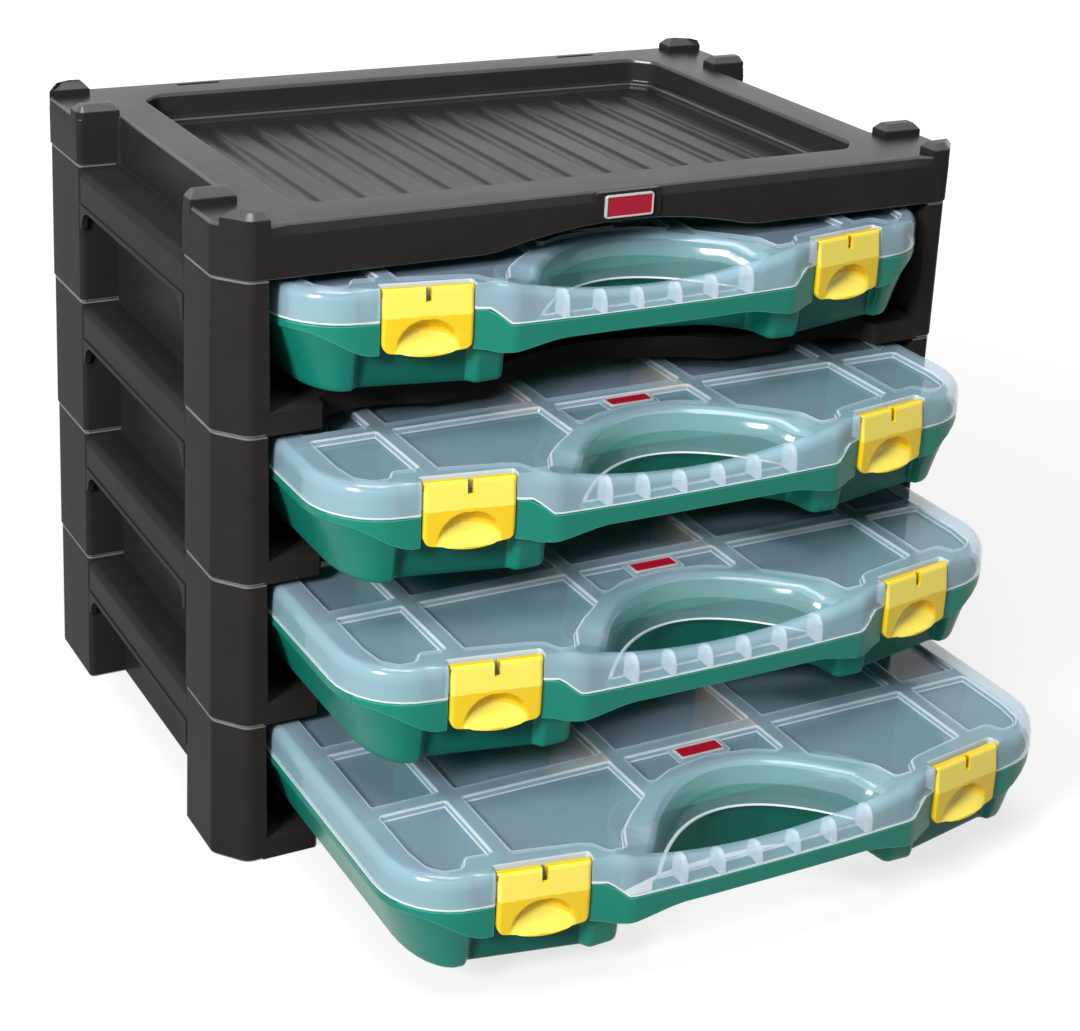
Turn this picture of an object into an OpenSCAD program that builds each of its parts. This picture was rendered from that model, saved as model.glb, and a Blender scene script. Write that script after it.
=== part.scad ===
// Stacking storage cabinet with four pull-out organiser cases.
// Millimetres. X is the width, the front faces -Y, Z is up from the floor.
// The origin is the middle of the cabinet's footprint.

/* [Cabinet] */
// Outside width of the cabinet
cabinet_w = 430; // [400:1:540]
// Outside depth of the cabinet
cabinet_d = 283; // [270:1:360]
// Wall thickness of the cabinet mouldings
wall = 2.5; // [1.5:0.1:4]
// Width of a corner post
post_w = 24; // [20:1:34]
// Depth of a front post along the side
front_post_d = 55.5; // [44:0.5:70]
// Depth of a back post along the side
back_post_d = 65.5; // [44:0.5:75]
// Cut corner of a front post across the front
front_cut_x = 13; // [6:0.5:16]
// Cut corner of a front post along the side
front_cut_y = 16; // [6:0.5:24]
// Cut corner of a back post, both ways
back_cut = 12; // [6:0.5:16]
// Thickness of the deck that closes a post's top
deck_t = 3; // [2:0.5:5]
// Height of the stacking ridges on a post
ridge_h = 6.5; // [3:0.5:10]
// Width of a stacking ridge
ridge_w = 9; // [5:0.5:14]
// Gap round a stacking ridge inside the post above
ridge_gap = 0.4; // [0.2:0.1:1]

/* [Tier] */
// Height of the shelf's front lip
lip_h = 11.7; // [8:0.1:16]
// Width of the straight stub of the lip beside a post
stub_w = 29; // [15:1:45]
// How far the lip stands back between the stubs
lip_set_back = 11.5; // [5:0.5:25]
// Half the width of the hand recess in the middle of the lip
hand_half = 72; // [50:1:100]
// Depth of the hand recess
hand_depth = 21.5; // [8:0.5:30]
// Half the width of a finger scallop under a latch
scallop_half = 28; // [15:1:36]
// Depth of a finger scallop
scallop_depth = 7; // [3:0.5:10]
// Height of the runner ribs on the shelf
runner_h = 8.8; // [4:0.1:15]
// Thickness of a runner rib
runner_t = 3; // [2:0.5:6]
// Distance of the outer runner rib from the side wall
runner_inset = 26; // [20:1:34]
// Distance between the two runner ribs of a side
runner_pitch = 20; // [10:1:40]
// Height of a side rail
rail_h = 21; // [12:1:30]
// Drop of a side rail's top below the tier's top
rail_drop = 3; // [1:0.5:8]
// How far a side rail's face stands back from the posts
rail_set_back = 1; // [0.5:0.1:4]
// Height of the bead along a rail's lower edge
bead_h = 3; // [1:0.5:6]
// How far that bead stands out
bead_out = 0.7; // [0.2:0.1:0.9]
// Size of the gusset where a rail meets a front post
gusset = 7; // [3:0.5:14]

/* [Top tray] */
// Height of the tray's front band
band_h = 26; // [22:1:40]
// Depth of the tray below its rim
tray_depth = 18; // [8:0.5:18]
// Width of the tray's rim at the sides
rim_side = 23; // [12:1:40]
// Width of the rim at the front
rim_front = 29.5; // [15:0.5:45]
// Width of the rim at the back
rim_back = 23; // [15:0.5:45]
// Cut corner of the tray
tray_cut = 12; // [4:0.5:30]
// Flutes across the tray's floor
flutes = 13; // [5:1:21]
// Width of a flute
flute_w = 13; // [6:0.5:14]
// Height of a flute
flute_h = 1.2; // [0.5:0.1:2]
// Space between the flutes' ends and the tray's walls
flute_end = 12; // [8:0.5:30]
// Half the width of the arch under the front band
arch_half = 75; // [40:1:110]
// Height of that arch
arch_h = 10; // [3:0.5:14]
// Length of a wall slot in the back rim
slot_l = 26; // [10:1:40]
// Width of a wall slot
slot_w = 3; // [2:0.5:5]
// Distance between the wall slots' centres
slot_pitch = 250; // [150:1:300]
// Width of the plate on the front band
plate_w = 28; // [20:1:60]
// Height of that plate
plate_h = 12; // [8:0.5:13]
// Thickness of that plate
plate_t = 1.6; // [1:0.1:3]
// Width of the pad beside the plate
pad_frame = 5; // [2:0.5:8]
// Height of the pad above and below the plate
pad_edge = 1.5; // [1:0.5:3]
// Distance of the pad from the top of the rim
pad_drop = 0.4; // [0.2:0.1:2]
// Thickness of the pad
pad_t = 0.8; // [0.4:0.1:2]

/* [Case] */
// Gap between a case and a post
case_side_gap = 3; // [1:0.5:6]
// Height of a closed case
case_h = 54; // [46:0.5:75]
// Gap between a closed case and the unit above
headroom = 3.2; // [2.5:0.1:8]
// Gap between a case and the back wall when it is pushed in
back_gap = 1; // [0.5:0.1:5]
// Gap between a case and its runner ribs
slide_gap = 0.3; // [0.2:0.1:0.8]
// Radius of a case's front corners
corner_r = 38; // [24:1:46]
// Radius of a case's back corners
back_r = 8; // [4:0.5:16]
// How far the handle stands forward of the latches
handle_out = 10; // [6:0.5:20]
// How far the handle's ends stand forward
handle_end_out = 8; // [3:0.5:16]
// Distance between the handle's end and the latch
handle_shoulder = 14; // [8:0.5:24]
// Height of the line where lid and base meet
part_z = 37; // [28:0.5:42]
// Gap between lid and base
part_gap = 0.3; // [0.2:0.1:0.6]
// Height of that line along the handle
bar_part_z = 33.5; // [26:0.5:36]
// Height of the handle bar's underside
bar_bottom = 23; // [16:0.5:24]
// Height of the handle bar's top
bar_top = 46; // [40:0.5:46]
// Half the width of the hand hole
hole_half = 64; // [46:1:72]
// Depth of the hand hole behind the bar
hole_depth = 42; // [28:1:52]
// Depth of the handle bar
bar_depth = 12; // [10:0.5:20]

/* [Base] */
// Wall thickness of a base
base_t = 2; // [1.2:0.1:3]
// How far the base's wall stands in from the rim
wall_inset = 11; // [8:0.5:18]
// Height of the rim that the lid sits on
rim_h = 9; // [5:0.5:14]
// Distance of the base's front wall behind the latches
front_wall_y = 20; // [14:0.5:28]
// Radius of the base wall's front corners
wall_corner_r = 30; // [18:1:40]
// Half the width of the recess behind the handle
recess_half = 86; // [70:1:92]
// Depth of that recess
recess_depth = 28; // [20:1:34]
// Wall next to the middle, fixed in front and loose behind, from the centre
wall_x1 = 44; // [30:1:60]
// Fixed wall next to the sides, from the base's side
wall_x2_inset = 54; // [30:1:70]
// Thickness of the fixed walls and dividers
web_t = 1.6; // [1:0.1:2.5]
// First cross wall, behind the latches
cross_y = 76; // [64:1:90]
// Distance between the cross walls
row_pitch = 60; // [40:1:80]
// Gap of the webs under the lid
web_gap = 2; // [1:0.5:6]
// Gap round a divider
divider_gap = 0.3; // [0.2:0.1:1]

/* [Lid] */
// Wall thickness of a lid
lid_t = 2; // [1.4:0.1:3]
// Depth of the sunk panels
panel_sunk = 0.9; // [0.3:0.1:1.2]
// Width of the ribs between the panels
rib_w = 8; // [4:0.5:14]
// Width of the lid's border round the panels
border_w = 16; // [10:0.5:24]
// Front end of the panels, behind the latches
panel_front = 20; // [16:0.5:30]
// Width of a plate on a lid
badge_w = 26; // [16:1:40]
// Depth of a plate on a lid
badge_d = 10; // [6:0.5:12]
// Thickness of a plate on a lid
badge_t = 0.9; // [0.5:0.1:1.5]

/* [Latch] */
// Width of a latch
latch_w = 45; // [30:0.5:52]
// Distance of a latch's middle from the case's side
latch_inset = 66.5; // [62:0.5:90]
// How far a latch's outer end stands back
latch_set_back = 7.2; // [3:0.1:10]
// Height of a latch
latch_h = 30; // [22:0.5:32]
// Thickness of a latch
latch_t = 2.4; // [1.6:0.1:3]
// Gap round a latch
latch_gap = 0.4; // [0.3:0.1:1]
// Depth of the pocket in the lid that a latch turns in
pocket_d = 6.5; // [6:0.5:9]
// Thickness of the cheeks that hold a latch's pins
cheek_t = 3.5; // [2.5:0.1:5]
// Radius of a latch's pins
latch_pin_r = 1.5; // [1:0.1:2]
// Length of a latch's pins in the cheeks
latch_pin_l = 2.2; // [1:0.1:2.4]
// Radius of a latch's barrel
latch_barrel_r = 2.6; // [2:0.1:3]
// Radius of the corners of a latch
latch_corner_r = 4; // [2:0.5:8]
// Half the width of the thumb edge
thumb_half = 13; // [8:0.5:16]
// How far the thumb edge bulges down
thumb_drop = 2.5; // [1:0.5:4]
// Width of the slit at a latch's top
slit_w = 2; // [1:0.5:4]
// Length of that slit
slit_l = 6.5; // [3:0.5:10]

/* [Hinge] */
// Radius of a hinge pin
hinge_pin_r = 2; // [1.5:0.1:3]
// Running gap round a pin
pin_gap = 0.1; // [0.05:0.01:0.1]
// Radius of a hinge knuckle
knuckle_r = 4; // [3.2:0.1:5]
// Width of a base knuckle
knuckle_w = 18; // [10:1:30]
// Width of a lid ear
ear_w = 6; // [4:0.5:10]
// Gap beside a knuckle
knuckle_gap = 0.3; // [0.2:0.1:0.6]
// Distance of a hinge from the case's side
hinge_inset = 79; // [50:1:100]

/* [Pulled out] */
// How far case 1 is pulled out
out_1 = 38; // [0:1:210]
// How far case 2 is pulled out
out_2 = 88; // [0:1:210]
// How far case 3 is pulled out
out_3 = 122; // [0:1:210]
// How far case 4 is pulled out
out_4 = 176; // [0:1:210]

/* [Hidden] */
$fn = 48;
eps = 0.01;
tiers = 4;
out = [out_1, out_2, out_3, out_4];

front_y = -cabinet_d / 2;
back_y = cabinet_d / 2;
post_x = cabinet_w / 2 - post_w;
tier_h = lip_h + runner_h + slide_gap + case_h + headroom;
tray_z = tiers * tier_h;
lip_y = front_y + lip_set_back;
runner_y = lip_y + scallop_depth + wall;
plate_z = band_h - pad_drop - pad_edge - plate_h / 2;
rail_face = cabinet_w / 2 - rail_set_back;
rail_z = tier_h - rail_drop - rail_h;
rail_y0 = front_y + front_post_d;
rail_y1 = back_y - back_post_d;

case_half = post_x - case_side_gap;
case_w = 2 * case_half;
hinge_out = knuckle_r + 0.5;
// Back of the lid and base, counted from the latches' front
case_back = cabinet_d - wall - back_gap - handle_out - hinge_out - knuckle_r;
case_in_y = front_y + handle_out;
hinge_y = case_back + hinge_out;
hinge_z = part_z - 1;
hinge_x = case_half - hinge_inset;

latch_x = case_half - latch_inset;
latch_angle = atan2(latch_set_back, latch_w);
latch_inner = latch_x - latch_w / 2 * cos(latch_angle);
latch_outer = latch_x + latch_w / 2 * cos(latch_angle);
latch_top = case_h - 0.6;
pivot_y = latch_barrel_r + 0.2;
pivot_z = latch_top - latch_barrel_r;
handle_half = latch_inner - handle_shoulder;
corner_y = latch_set_back + corner_r + 1;
bar_back = bar_depth - handle_out;

wall_half = case_half - wall_inset;
wall_back = case_back - wall_inset / 2;
wall_x2 = wall_half - wall_x2_inset + wall_inset;
web_top = case_h - lid_t - web_gap;
rows = floor((wall_back - base_t - cross_y) / row_pitch);
rib_x = [-wall_x2, -wall_x1, wall_x1, wall_x2];
// Fixed cross walls, and the edges of the rows between them up to the back wall
cross_walls = [for (r = [0:rows]) if (cross_y + r * row_pitch + web_t < wall_back - base_t)
    cross_y + r * row_pitch];
row_edge = concat(cross_walls, [wall_back - base_t + web_t / 2]);
panel_edge = concat([-case_half + border_w - rib_w / 2], rib_x, [case_half - border_w + rib_w / 2]);
badge_y = cross_y - rib_w / 2 - badge_d / 2 - 2;

black = [0.13, 0.12, 0.11];
green = [0.05, 0.48, 0.38];
milky = [0.62, 0.78, 0.78, 0.6];
yellow = [0.98, 0.8, 0.05];
red = [0.75, 0.07, 0.12];
tan = [0.72, 0.53, 0.3];

// Points on an arc from angle a0 to a1
function arc(x, y, r, a0, a1, n) = [for (s = [0:n])
    let (a = a0 + (a1 - a0) * s / n) [x + r * cos(a), y + r * sin(a)]];
// Half an oval on the line at y, from right to left, open towards the front
function half_oval(rx, ry, y) = [for (s = [0:24])
    let (a = 180 * s / 24) [rx * cos(a), y + ry * sin(a)]];
// Radius of the arc that has this half chord and this rise
function bow(half, rise) = (half * half + rise * rise) / (2 * rise);
// A half outline that starts on the Y axis, joined with its mirror image
function both_sides(p) = concat(p, [for (s = [len(p) - 1:-1:1]) [-p[s][0], p[s][1]]]);

module mirror_x() {
    children();
    mirror([1, 0, 0]) children();
}

module rounded_plate(w, h, r) {
    square([w - 2 * r, h], center = true);
    square([w, h - 2 * r], center = true);
    for (x = [-1, 1], y = [-1, 1]) translate([x * (w / 2 - r), y * (h / 2 - r)]) circle(r);
}

// Corner of a post where its cut corner meets the side or the end, moved in by i
function cut_end(cx, cy, i) = [-cx + (cx - norm([cx, cy])) * i / cy, i];
function cut_side(cx, cy, i) = [-i, (cy * (cx - i) + i * norm([cx, cy])) / cx];

// Outline of a right-hand post, moved in by i; its cut corner is at the outer end
module post_outline(d, cx, cy, i) {
    polygon([[-post_w + i, i], cut_end(cx, cy, i), cut_side(cx, cy, i), [-i, d - i], [-post_w + i, d - i]]);
}

// Places a front post's and a back post's outline on all four corners
module at_corners(i) {
    mirror_x() {
        translate([cabinet_w / 2, front_y]) post_outline(front_post_d, front_cut_x, front_cut_y, i);
        translate([cabinet_w / 2, back_y]) mirror([0, 1]) post_outline(back_post_d, back_cut, back_cut, i);
    }
}

// Strips across the ends of the posts, where the stacking ridges stand
module ridge_strips() {
    inset = wall + ridge_gap;
    for (y = [front_y + inset, rail_y0 - inset - ridge_w, rail_y1 + inset, back_y - inset - ridge_w]) {
        translate([-cabinet_w / 2, y]) square([cabinet_w, ridge_w]);
    }
}

// Hollow posts with a closed deck and stacking ridges that fit inside the posts above
module posts(h) {
    difference() {
        linear_extrude(h) at_corners(0);
        translate([0, 0, -1]) linear_extrude(h - deck_t + 1) at_corners(wall);
    }
    translate([0, 0, h - eps]) linear_extrude(ridge_h + eps) intersection() {
        at_corners(wall + ridge_gap);
        ridge_strips();
    }
}

// Plan of the shelf; a positive i moves its front edge back
module shelf_plan(i) {
    stub_x = post_x - stub_w;
    hand_r = bow(hand_half, hand_depth);
    scallop_r = bow(scallop_half, scallop_depth);
    difference() {
        union() {
            translate([-post_x, lip_y + i]) square([2 * post_x, back_y - lip_y - i]);
            mirror_x() translate([stub_x + i, front_y + i]) square([stub_w - i, lip_set_back + 1]);
        }
        translate([0, lip_y + hand_depth - hand_r]) circle(hand_r + i, $fn = 120);
        mirror_x() translate([stub_x - scallop_half, lip_y + scallop_depth - scallop_r]) intersection() {
            circle(scallop_r + i, $fn = 120);
            translate([-scallop_half - i, 0]) square([2 * scallop_half + i - eps, 2 * scallop_r]);
        }
    }
}

// Channel rail along one side, open underneath
module side_rail() {
    length = rail_y1 - rail_y0;
    depth = rail_face - post_x;
    translate([post_x, rail_y0, rail_z]) {
        difference() {
            cube([depth, length, rail_h]);
            translate([wall, -1, -1]) cube([depth - 2 * wall, length + 2, rail_h - wall + 1]);
        }
        translate([depth - wall, 0, 0]) cube([wall + bead_out, length, bead_h]);
        translate([depth - wall, 0, 0]) rotate([90, 0, 90]) linear_extrude(wall) {
            polygon([[0, eps], [gusset, eps], [0, -gusset]]);
            polygon([[length, eps], [length - gusset, eps], [length, -gusset]]);
        }
    }
}

// One tier, standing on z = 0
module tier() {
    color(black) {
        posts(tier_h);
        mirror_x() {
            translate([post_x, rail_y0 - wall, 0]) cube([wall, rail_y1 - rail_y0 + 2 * wall, tier_h]);
            side_rail();
            for (r = [0, 1]) {
                translate([post_x - runner_inset - r * runner_pitch, runner_y, lip_h - eps])
                    cube([runner_t, back_y - wall - runner_y, runner_h + eps]);
            }
        }
        translate([-post_x - wall, back_y - wall, 0]) cube([2 * (post_x + wall), wall, tier_h]);
        difference() {
            linear_extrude(lip_h) shelf_plan(0);
            translate([0, 0, -1]) linear_extrude(lip_h - wall + 1) intersection() {
                shelf_plan(wall);
                translate([-post_x + eps, front_y]) square([2 * (post_x - eps), cabinet_d - wall]);
            }
        }
    }
}

// Opening of the tray, moved out by i
module tray_plan(i) {
    x = post_x - rim_side + i;
    y0 = front_y + rim_front - i;
    y1 = back_y - rim_back + i;
    c = tray_cut + i * (2 - sqrt(2));
    polygon(both_sides([[0, y0], [x - c, y0], [x, y0 + c], [x, y1 - c], [x - c, y1], [0, y1]]));
}

module tray_flutes() {
    length = cabinet_d - rim_front - rim_back - 2 * flute_end;
    pitch = (2 * (post_x - rim_side) - flute_w) / flutes;
    middle = (front_y + rim_front + back_y - rim_back) / 2;
    for (f = [0:flutes - 1]) translate([(f - (flutes - 1) / 2) * pitch, middle]) {
        square([flute_w, length - flute_w], center = true);
        for (e = [-1, 1]) translate([0, e * (length - flute_w) / 2]) circle(flute_w / 2);
    }
}

module plate_pad() {
    translate([0, front_y, plate_z]) rotate([90, 0, 0]) linear_extrude(pad_t)
        rounded_plate(plate_w + 2 * pad_frame, plate_h + 2 * pad_edge, 2);
}

module top_tray() {
    floor_z = band_h - tray_depth;
    color(black) translate([0, 0, tray_z]) {
        posts(band_h);
        difference() {
            union() {
                translate([-post_x - eps, front_y, 0]) cube([2 * (post_x + eps), cabinet_d, band_h]);
                plate_pad();
            }
            // Hollow underside: the walls, the rim and the basin stay
            difference() {
                translate([-post_x + wall, front_y + wall, -1])
                    cube([2 * (post_x - wall), cabinet_d - 2 * wall, band_h - wall + 1]);
                translate([0, 0, floor_z - wall]) linear_extrude(band_h) tray_plan(wall);
            }
            translate([0, 0, floor_z]) linear_extrude(band_h) tray_plan(0);
            translate([0, front_y - 1, arch_h - bow(arch_half, arch_h)]) rotate([-90, 0, 0])
                cylinder(r = bow(arch_half, arch_h), h = wall + 2, $fn = 160);
            mirror_x() translate([slot_pitch / 2, back_y - wall - slot_w, band_h / 2])
                translate([-slot_l / 2, -slot_w / 2, 0]) cube([slot_l, slot_w, band_h]);
        }
        translate([0, 0, floor_z - eps]) linear_extrude(flute_h + eps) tray_flutes();
    }
}

module tray_badge() {
    color(red) translate([0, front_y - pad_t, tray_z + plate_z]) rotate([90, 0, 0])
        linear_extrude(plate_t) rounded_plate(plate_w, plate_h, 2);
}

// Outline of a case, moved in by i; Y counts from the front of the latches
module case_outline(i) {
    polygon(both_sides(concat(
        [[0, i - handle_out], [handle_half, i - handle_end_out]],
        [[latch_inner, i], [latch_outer, latch_set_back + i]],
        arc(case_half - corner_r, corner_y, corner_r - i, 270, 360, 10),
        arc(case_half - back_r, case_back - back_r, back_r - i, 0, 90, 4),
        [[0, case_back - i]])));
}

// Hand hole behind the handle bar, moved out by i
module hand_hole(i) {
    polygon(concat([[-hole_half - i, bar_back - i], [hole_half + i, bar_back - i]],
        half_oval(hole_half + i, hole_depth + i, bar_back)));
}

// Plan of the base's box, moved in by i, with the recess behind the handle
module box_plan(i) {
    difference() {
        polygon(both_sides(concat([[0, front_wall_y + i]],
            arc(wall_half - wall_corner_r, front_wall_y + wall_corner_r, wall_corner_r - i, 270, 360, 10),
            arc(wall_half - back_r, wall_back - back_r, back_r - i, 0, 90, 4),
            [[0, wall_back - i]])));
        polygon(concat([[-recess_half - i, 0], [recess_half + i, 0]],
            half_oval(recess_half + i, recess_depth + i, front_wall_y)));
    }
}

// Places a right-hand latch; its own Y is zero on the case's outline
module at_latch() {
    translate([latch_x, latch_set_back / 2, 0]) rotate([0, 0, latch_angle]) children();
}

// Room that a latch takes out of the lid or the base
module latch_room(depth, z0, z1) {
    width = latch_w + 2 * latch_gap;
    at_latch() translate([-width / 2, -handle_out, z0]) cube([width, handle_out + depth, z1 - z0]);
}

module x_cylinder(r, l) {
    translate([-l / 2, 0, 0]) rotate([0, 90, 0]) cylinder(r = r, h = l);
}

// Part of the plan in front of the hand hole, where the handle bar runs
module handle_zone() {
    translate([-handle_half, -2 * handle_out]) square([2 * handle_half, 2 * handle_out + bar_back + lid_t]);
}

module base_webs() {
    intersection() {
        linear_extrude(web_top) box_plan(base_t / 2);
        union() {
            mirror_x() translate([wall_x1 - web_t / 2, 0, base_t - eps]) cube([web_t, cross_y, web_top]);
            mirror_x() translate([wall_x2 - web_t / 2, 0, base_t - eps]) cube([web_t, case_back, web_top]);
            for (y = cross_walls) translate([-case_half, y - web_t / 2, base_t - eps])
                cube([case_w, web_t, web_top]);
        }
    }
}

module base_knuckles() {
    mirror_x() translate([hinge_x, hinge_y, hinge_z]) {
        x_cylinder(knuckle_r, knuckle_w);
        translate([-knuckle_w / 2, -hinge_out - base_t / 2, -knuckle_r])
            cube([knuckle_w, hinge_out + base_t / 2, knuckle_r]);
    }
}

// Rim that the lid sits on, with its shelf back to the box
module base_rim() {
    top = part_z - part_gap;
    difference() {
        translate([0, 0, top - rim_h]) linear_extrude(rim_h) case_outline(0);
        translate([0, 0, top - rim_h + base_t]) linear_extrude(rim_h) case_outline(base_t);
        translate([0, 0, top - rim_h - 1]) linear_extrude(rim_h + 2) box_plan(base_t / 2);
        translate([0, 0, top - rim_h - 1]) linear_extrude(rim_h + 2) hand_hole(0);
        translate([0, 0, bar_part_z - part_gap]) linear_extrude(rim_h) handle_zone();
    }
}

// Front and back walls of the handle bar's lower half
module base_bar() {
    top = bar_part_z - part_gap;
    translate([0, 0, bar_bottom]) linear_extrude(top - bar_bottom) {
        intersection() {
            difference() {
                case_outline(0);
                case_outline(base_t);
            }
            translate([-latch_inner, -2 * handle_out])
                square([2 * latch_inner, 2 * handle_out + front_wall_y]);
        }
        difference() {
            hand_hole(base_t);
            hand_hole(0);
        }
    }
}

module case_base() {
    color(green) difference() {
        union() {
            // The walls rise inside the lid as high as the fixed walls between the compartments
            difference() {
                linear_extrude(web_top) box_plan(0);
                translate([0, 0, base_t]) linear_extrude(case_h) box_plan(base_t);
            }
            base_webs();
            base_rim();
            base_bar();
            base_knuckles();
        }
        mirror_x() latch_room(pivot_y, bar_bottom - 1, part_z + 1);
        mirror_x() translate([hinge_x, hinge_y, hinge_z]) x_cylinder(hinge_pin_r + pin_gap, knuckle_w + 2);
    }
}

module lid_shell() {
    difference() {
        linear_extrude(case_h) case_outline(0);
        translate([0, 0, -1]) linear_extrude(case_h - lid_t + 1) difference() {
            case_outline(lid_t);
            hand_hole(lid_t);
        }
        translate([0, 0, -1]) linear_extrude(part_z + 1) difference() {
            case_outline(-1);
            handle_zone();
            hand_hole(lid_t);
        }
        translate([0, 0, -1]) linear_extrude(bar_part_z + 1) case_outline(-1);
        translate([0, 0, -1]) linear_extrude(case_h + 2) hand_hole(0);
        // Saddle in the handle bar's top
        translate([-hole_half, -2 * handle_out, bar_top])
            cube([2 * hole_half, 2 * handle_out + bar_back + 1, case_h]);
    }
}

// Sunk panels between the ribs of the lid's top
module lid_panels() {
    cross_rib = [for (r = [0:rows]) cross_y + r * row_pitch];
    row_edge = concat([panel_front], cross_rib, [case_back - border_w + rib_w]);
    for (c = [0:4], r = [0:rows + 1]) {
        x0 = panel_edge[c] + rib_w / 2;
        x1 = panel_edge[c + 1] - rib_w / 2;
        y0 = row_edge[r] + (r == 0 ? 0 : rib_w / 2);
        y1 = row_edge[r + 1] - rib_w / 2;
        if (y1 - y0 > rib_w) translate([x0, y0]) square([x1 - x0, y1 - y0]);
    }
}

module lid_hinge() {
    reach = knuckle_w / 2 + knuckle_gap;
    mirror_x() translate([hinge_x, hinge_y, hinge_z]) {
        x_cylinder(hinge_pin_r, 2 * (reach + ear_w));
        for (s = [-1, 1]) translate([s * (reach + ear_w / 2), 0, 0]) {
            x_cylinder(knuckle_r, ear_w);
            translate([-ear_w / 2, -hinge_out - lid_t / 2, part_z - hinge_z])
                cube([ear_w, hinge_out + lid_t / 2, knuckle_r]);
        }
    }
}

// Walls of the pockets that the latches turn in
module latch_pockets() {
    half = latch_w / 2 + latch_gap;
    intersection() {
        linear_extrude(case_h) case_outline(0);
        mirror_x() at_latch() {
            translate([-half - cheek_t, pocket_d, part_z])
                cube([2 * (half + cheek_t), lid_t, case_h - part_z]);
            difference() {
                for (s = [-1, 1]) translate([s * (half + cheek_t / 2) - cheek_t / 2, 0, part_z])
                    cube([cheek_t, pocket_d + eps, case_h - part_z]);
                translate([0, pivot_y, pivot_z])
                    x_cylinder(latch_pin_r + pin_gap, 2 * (half + latch_pin_l + pin_gap));
            }
        }
    }
}

module case_lid() {
    color(milky) {
        difference() {
            lid_shell();
            mirror_x() latch_room(pocket_d, 0, case_h + 1);
            // The cheeks fill these places again with their pin holes
            mirror_x() at_latch() translate([0, pivot_y, pivot_z])
                x_cylinder(latch_pin_r + pin_gap, latch_w + 2 * (latch_gap + latch_pin_l + pin_gap));
            translate([0, 0, case_h - panel_sunk]) linear_extrude(case_h) difference() {
                lid_panels();
                hand_hole(border_w / 2);
            }
        }
        latch_pockets();
        // Top of the handle bar
        translate([0, 0, bar_top - lid_t]) linear_extrude(lid_t) difference() {
            intersection() {
                case_outline(0);
                translate([-hole_half - lid_t, -2 * handle_out])
                    square([2 * (hole_half + lid_t), 2 * handle_out + bar_back]);
            }
            hand_hole(0);
        }
        lid_hinge();
    }
}

// Front view of a latch, with its top edge on y = 0
module latch_plate() {
    thumb_r = bow(thumb_half, thumb_drop);
    difference() {
        union() {
            translate([0, -latch_h / 2]) rounded_plate(latch_w, latch_h, latch_corner_r);
            translate([-latch_w / 2, -latch_corner_r]) square([latch_w, latch_corner_r]);
            intersection() {
                translate([0, thumb_r - latch_h - thumb_drop]) circle(thumb_r, $fn = 96);
                translate([-thumb_half, -latch_h - thumb_drop]) square([2 * thumb_half, 2 * thumb_drop]);
            }
        }
        translate([-slit_w / 2, -slit_l]) square([slit_w, slit_l + 1]);
    }
}

// A right-hand latch; it hangs in front of the case's outline from a barrel in the lid
module case_latch() {
    color(yellow) at_latch() {
        translate([0, 0, latch_top]) rotate([90, 0, 0]) linear_extrude(latch_t) latch_plate();
        difference() {
            translate([0, pivot_y, pivot_z]) {
                x_cylinder(latch_barrel_r, latch_w);
                x_cylinder(latch_pin_r, latch_w + 2 * (latch_gap + latch_pin_l));
                translate([-latch_w / 2, -pivot_y - eps, -latch_barrel_r])
                    cube([latch_w, pivot_y + eps, 2 * latch_barrel_r]);
            }
            translate([-slit_w / 2, -1, latch_top - slit_l])
                cube([slit_w, pivot_y + latch_barrel_r + 2, slit_l + 1]);
        }
    }
}

module case_badge() {
    color(red) translate([0, badge_y, case_h - panel_sunk])
        linear_extrude(badge_t) rounded_plate(badge_w, badge_d, 1.5);
}

// Loose dividers next to the middle, between the fixed cross walls
module case_dividers() {
    color(tan) mirror_x() for (r = [0:len(cross_walls) - 1]) {
        y0 = row_edge[r] + web_t / 2 + divider_gap;
        y1 = row_edge[r + 1] - web_t / 2 - divider_gap;
        translate([wall_x1 - web_t / 2, y0, base_t]) cube([web_t, y1 - y0, web_top - base_t]);
    }
}

// Puts tier k in its place, counted from the top
module in_stack(k) {
    translate([0, 0, (tiers - k) * tier_h]) children();
}

// Puts a piece of case k where the case stands on its runners, pulled out
module in_case(k) {
    in_stack(k) translate([0, case_in_y - out[k - 1], lip_h + runner_h + slide_gap]) children();
}

top_tray();
tray_badge();
for (k = [1:tiers]) {
    name = str("case_", k, "_");
    in_stack(k) tier();
    in_case(k) case_base();
    in_case(k) case_lid();
    in_case(k) mirror([1, 0, 0]) case_latch();
    in_case(k) case_latch();
    in_case(k) case_badge();
    in_case(k) case_dividers();
}
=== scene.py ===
# %% [markdown]
# # A stacking cabinet with pull-out organiser cases
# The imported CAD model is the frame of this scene: it says where every piece is and how it moves.
# CAD edges are sharp, while moulded plastic has rounded edges, drafted walls and clear lids. So the
# nodes are replaced here by meshes that are built from outlines, loop by loop, at the CAD's places.

# %% Load the frame
import math

import bmesh
import bpy
from mathutils import Matrix, Vector
from mathutils.geometry import delaunay_2d_cdt


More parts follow.
